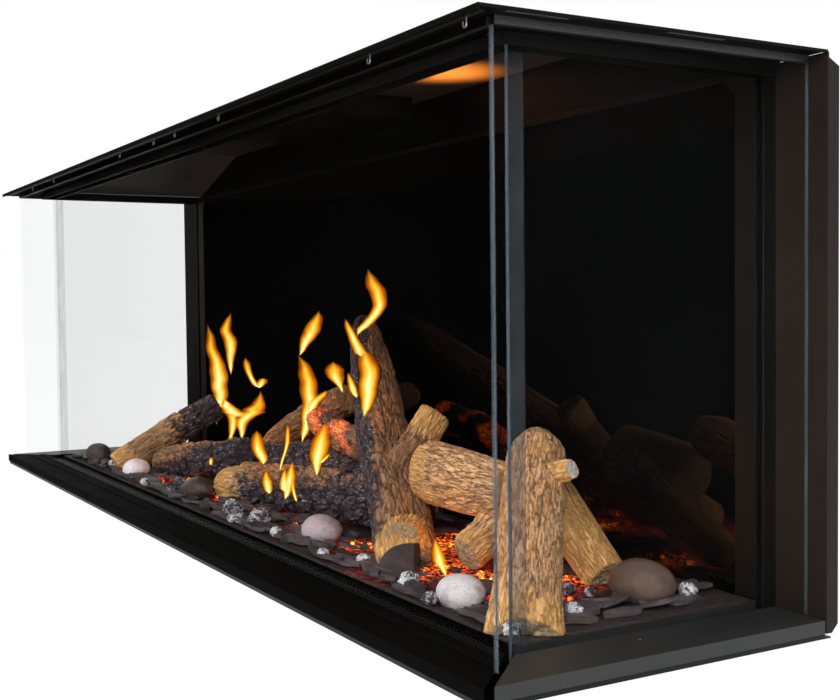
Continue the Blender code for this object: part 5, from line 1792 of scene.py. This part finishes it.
    def wool(self) -> None:
        """Tuck small glowing tufts of ember wool where the bed is hot."""
        chance = random.Random(8)
        shapes = [self.crumpled(f"wool_shape_{n}", 3, 0.34, 5.0 * n + 2) for n in range(3)]
        made = []
        for x, y, reach in self.hot_spots:
            for _ in range(self.tufts):
                size = chance.uniform(*self.tuft_size)
                spot_x = x + chance.gauss(0, reach * 0.4)
                low, high = self.tuft_border
                spot_y = max(min(y + chance.gauss(0, reach * 0.3), high), low)
                turn = Matrix.Rotation(chance.uniform(0, 6.28), 4, (0.6, 0.5, 0.3))
                scale = Matrix.Diagonal((size, size * 0.8, size * 0.6, 1))
                place = Matrix.Translation((spot_x, spot_y, self.loose_top + size * 0.4))
                made.append(copy_at(shapes[chance.randrange(3)], place @ scale @ turn))
        piece = join("ember_wool", made)
        rows = get_points(piece)
        keep_values(piece, "glow", 0.55 + 0.45 * self.hot(rows[:, 0], rows[:, 1]))
        finish = EmberFinish("ember_wool_finish", (0.05, 0.03, 0.024), 3.0).make()
        hand_over(piece, finish)
        discard(shapes)

    def build(self) -> None:
        """Build the bed and all that lies loose on it."""
        self.floor()
        self.chips()
        self.bright_nuggets()
        self.wool()


@dataclass
class FlameSet:
    """The flames, each a flat see-through tongue round one line.

    An outline gives the Y of the flame's foot, how much nearer to the camera the flame stands, and
    pixels of the photograph from the tip to the foot, each with half the flame's width in pixels.
    The bridge is a flame that runs across, so its points give X, Z and half its width in metres.
    """

    grow: float = 1.5
    flat: float = 0.42
    view: PhotoView = PhotoView()
    bridge_place: int = 6
    bridge_y: float = 0.09
    bridge: tuple = (
        (-0.4011, 0.1495, 0.0054), (-0.3726, 0.135, 0.0104), (-0.3389, 0.1266, 0.0148),
        (-0.3057, 0.1262, 0.0163), (-0.2727, 0.1345, 0.0146), (-0.245, 0.1494, 0.0101),
        (-0.2267, 0.1741, 0.002),
    )
    outlines: tuple = (
        ("flame_end_tall", 0.12, 0, ((207.5, 323, 1.5), (209.5, 335, 3), (213, 350, 4), (217, 362, 5),
         (219, 375, 6.5), (219.5, 388, 6), (218.5, 400, 5), (217, 412, 3.5), (216.5, 425, 1.5))),
        ("flame_end_thin", 0.12, 0, ((231, 312, 1), (228.5, 322, 3), (226.5, 331, 4.5),
         (229.5, 343, 5), (231, 352, 3.5), (231, 362, 2), (231, 375, 1))),
        ("flame_back_curl", 0.1, 0, ((245, 357, 1.2), (245.5, 363, 2.8), (248.5, 371, 2.6),
         (252, 379, 2.2), (256, 385, 2.4), (260, 388, 2))),
        ("flame_back_wisp", 0.1, 0, ((262.5, 378, 3), (261, 383, 4), (259.5, 388, 1.5))),
        ("flame_left_low", 0.09, 0, ((221.5, 396, 1.5), (224.5, 401, 3.5), (229, 409, 4.5),
         (232.5, 419, 4), (232.5, 430, 3), (230, 440, 1.6), (227.3, 449, 1.8), (227, 452, 0.8))),
        ("flame_left_bend", 0.08, 0, ((260.5, 390, 1.2), (260.5, 400, 2.6), (256, 409, 5.5),
         (248, 415, 7.5), (243, 424, 5), (242, 433, 2.5), (241.8, 441, 0.8))),
        ("flame_middle_low", 0.06, 0.2, ((256.5, 430, 2), (257, 440, 4.2), (259.5, 450, 5),
         (262.5, 459, 4.5), (263.5, 465, 2))),
        ("flame_middle_thin", 0.06, 0.2, ((287, 422, 0.8), (287.8, 430, 2), (287, 442, 2),
         (285, 452, 1.4), (281.5, 463, 1.1), (279.5, 472, 0.7))),
        ("flame_middle_top", 0.1, 0, ((319, 310, 1), (316.5, 320, 4.5), (311.5, 333, 6.5),
         (305.5, 344, 5.5), (301, 353, 3), (299, 356, 1))),
        ("flame_middle_tall", 0.1, 0, ((296.5, 354, 1), (300, 358, 4), (304.5, 368, 6),
         (307.5, 380, 6.5), (309.5, 392, 6), (308.5, 405, 4.5), (307, 420, 4.2), (304, 434, 3),
         (301.5, 444, 1))),
        ("flame_middle_lick", 0.08, 0, ((327, 390, 1.5), (323, 394, 4), (318, 399, 5),
         (313, 406, 4), (310, 415, 2))),
        ("flame_centre", 0.06, 0.15, ((324.5, 421, 1.2), (325, 430, 5), (321, 443, 7.5),
         (318.5, 456, 6.5), (317.5, 468, 3.5), (316.5, 477, 1))),
        ("flame_centre_wisp", 0.05, 0.13, ((330, 453, 0.8), (325.5, 458, 2), (320.5, 463, 2))),
        ("flame_beside_standing", 0.05, 0, ((333, 361, 2), (333, 370, 7), (337, 380, 6),
         (341.5, 390, 2.5), (343, 393, 0.8))),
        ("flame_front_left", 0.0, 0.08, ((267, 470, 1.5), (266.5, 478, 3), (268.5, 486, 4.3),
         (269.5, 492, 3.5), (270, 494, 2))),
        ("flame_front_tall", 0.0, 0.08, ((292.7, 460, 0.8), (291.5, 468, 2.2), (290, 478, 4.5),
         (288, 488, 5), (286, 496, 3), (284.5, 500, 1))),
        ("flame_front_short", 0.0, 0.08, ((285.5, 468, 0.8), (284, 475, 2.6), (284.5, 484, 4),
         (285.5, 492, 3))),
        ("flame_front_wisp", 0.0, 0.08, ((292.5, 480, 1.2), (293.5, 490, 1.6), (296.5, 502, 1))),
        ("flame_left_spark", 0.0, 0, ((196.2, 457, 1), (196.8, 464, 1.6), (197, 472, 1.2))),
        ("flame_left_glint", 0.0, 0, ((211.4, 457, 1.2), (211.3, 461, 2), (211, 465, 1.2))),
        ("flame_standing_curl", 0.02, 0, ((367.5, 268, 2), (369.5, 274, 4), (374, 284, 6.5),
         (379, 294, 6), (381, 304, 5), (377, 313, 4.5), (370, 321, 4.5), (361, 329, 4.5),
         (357, 336, 3))),
        ("flame_standing_left", 0.02, 0, ((345, 318, 0.8), (348, 326, 2.8), (353, 337, 3.8),
         (358, 348, 4.5), (361.5, 357, 5))),
        ("flame_standing_main", 0.015, 0, ((360, 345, 1), (365, 355, 6), (369, 367, 8),
         (368.5, 380, 7.5), (366.5, 393, 6.5), (365, 405, 4.5), (364, 418, 1.5))),
        ("flame_standing_small", 0.02, 0, ((348, 372, 0.8), (350, 380, 2.5), (353, 389, 3.2),
         (357, 398, 2))),
        ("flame_bed_right", -0.02, 0, ((434.5, 537, 0.8), (436.5, 545, 2.8), (439.5, 555, 5),
         (442.5, 565, 5.5), (445, 573, 3), (446, 577, 1))),
    )

    def place_line(self, foot_y: float, nearer: float, outline: tuple) -> list[tuple[Vector, float]]:
        """Stand an outline upright in the fire, square to the look from the camera.

        Args:
            foot_y: the Y of its foot.
            nearer: how far it is then moved towards the camera.
            outline: pixels with half a width each, from the tip to the foot.

        Returns:
            Points with half a width each, from the foot to the tip.
        """
        eye = Vector(self.view.place)
        level = Vector((*self.view.ahead[:2], 0)).normalized()
        ray = self.view.ray(*outline[-1][:2])
        reach = (foot_y - eye.y) / ray.y * ray.dot(level)
        line = []
        for across, down, half in reversed(outline):
            ray = self.view.ray(across, down)
            far = reach / ray.dot(level)
            share = 1 - nearer / (ray * far).length
            line.append((eye + ray * far * share, half * far * share / self.view.focal))
        return line

    def tongue(self, name: str, line: list[tuple[Vector, float]]) -> Piece:
        """Model one flame.

        Args:
            name: the flame's name.
            line: points with a half width each, from the foot to the tip.

        Returns:
            The closed flame.
        """
        path = Path([point for point, _ in line])
        piece = unit_tube(name, 32, 6, 5, 2)
        unit = get_points(piece)
        at = np.clip(unit[:, 2] + 0.5, 0, 1)
        drawn = np.linspace(0, 1, len(line))
        wide = np.interp(at, drawn, [half for _, half in line]) * self.grow
        wide *= np.clip(np.minimum(at, 1 - at) * 9, 0.02, 1)
        x, y = self.view.right[:2]
        right, ahead = np.array((x, y, 0.0)), np.array((-y, x, 0.0))
        rows = path.read(path.line, at)
        sway = wander(rows, (55, 55, 40), len(name)) * 0.35 * wide
        shift = unit[:, 0] * wide + sway
        rows += right * shift[:, None] + ahead * (unit[:, 1:2] * wide[:, None] * self.flat)
        set_points(piece, rows)
        keep_values(piece, "rise", at)
        keep_values(piece, "core", 1 - np.abs(unit[:, 0]))
        smooth(piece)
        return piece

    def build(self) -> None:
        """Build every flame."""
        finish = FlameFinish().make()
        lines = [(name, self.place_line(*rest)) for name, *rest in self.outlines]
        bridge = [(Vector((x, self.bridge_y, z)), half) for x, z, half in self.bridge]
        lines.insert(self.bridge_place, ("flame_left_bridge", bridge))
        for name, line in lines:
            piece = self.tongue(name, line)
            piece.visible_shadow = piece.visible_glossy = False
            hand_over(piece, finish)


@dataclass
class SmallHeads:
    """Small countersunk screw or pin heads in one group."""

    name: str
    radius: float
    height: float
    places: tuple
    finish: Metal
    down: bool = True
    rim_share: float = 0.35
    sink_share: float = 0.45

    def build(self, level: float) -> None:
        """Model one head and copy it.

        Args:
            level: height of the face that the heads lie on.
        """
        deselect()
        bpy.ops.mesh.primitive_cylinder_add(vertices=20, radius=self.radius, depth=self.height)
        head = bpy.context.object
        look = -1 if self.down else 1
        bpy.ops.object.mode_set(mode="EDIT")
        pick(head, Part.FACE, lambda face: face.normal.z * look > 0.9)
        bpy.ops.mesh.inset(thickness=self.radius * self.rim_share)
        sink = (0, 0, -look * self.height * self.sink_share)
        bpy.ops.mesh.extrude_region_move(TRANSFORM_OT_translate={"value": sink})
        bpy.ops.object.mode_set(mode="OBJECT")
        rise = level + look * self.height / 2
        made = [copy_at(head, Matrix.Translation((x, y, rise))) for x, y in self.places]
        bpy.data.objects.remove(head)
        piece = join(self.name, made)
        smooth(piece, math.radians(35))
        hand_over(piece, self.finish.make())


@dataclass
class SlotBacking:
    """Strips that fill the slots of the top plate, coloured dim as a stand-in for the light seen through
    the open slots: painted light.
    """

    inset: float = 0.0072
    half_width: float = 0.0052
    starts: tuple = (0.0323, 0.1983)
    lengths: tuple = (0.062, 0.0664)
    thick: float = 0.0008
    depth: float = 0.0008

    def build(self, corner: Vector, level: float) -> None:
        """Lay the four strips.

        Args:
            corner: the top plate's front right corner.
            level: height of the plate's upper face.
        """
        made = []
        for side in (-1, 1):
            for start, length in zip(self.starts, self.lengths):
                strip = fine_cube("slot_strip", 9)
                rows = get_points(strip) * (self.half_width, length / 2, self.thick / 2)
                rows[:, 2] += 0.0001 * wander(rows, (400, 400, 1), start + side)
                middle = corner.y + start + length / 2
                rows += (side * (corner.x - self.inset), middle, level - self.depth)
                set_points(strip, rows)
                made.append(strip)
        piece = join("slot_backing", made)
        smooth(piece, math.radians(30))
        # Painted light: the strips' dim colour stands in for the light seen through the open slots.
        slot_light_finish = Moulding("slot_fill_painted_light", (0.05, 0.042, 0.036), 0.8)
        hand_over(piece, slot_light_finish.make())


def main() -> None:
    """Build the looks in order."""
    logging.basicConfig(level=logging.INFO, format="%(name)s: %(message)s")
    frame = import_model()
    Studio().build()
    Casework().dress(frame["nodes"])
    LogSet().build()
    StoneSet().build()
    EmberBed().build()
    FlameSet().build()
    screw = Metal("blackened_screws", (0.12, 0.12, 0.12), 0.35)
    seams = ((-0.2536, -0.1165), (-0.2536, -0.1085), (0.0763, -0.1165), (0.0763, -0.1085))
    SmallHeads("ceiling_screws", 0.0022, 0.0009, seams, screw).build(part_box("front_top_channel")[0].z)
    pin = Metal("bright_pin", (0.75, 0.74, 0.72), 0.3)
    pins = ((0.8523, 0.0009), (-0.8523, 0.0009))
    SmallHeads("sill_pins", 0.0011, 0.0007, pins, pin, False).build(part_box("right_sill")[1].z)
    low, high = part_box("top_plate")
    SlotBacking().build(Vector((high.x, low.y, 0)), high.z)


if __name__ == "__main__":
    main()
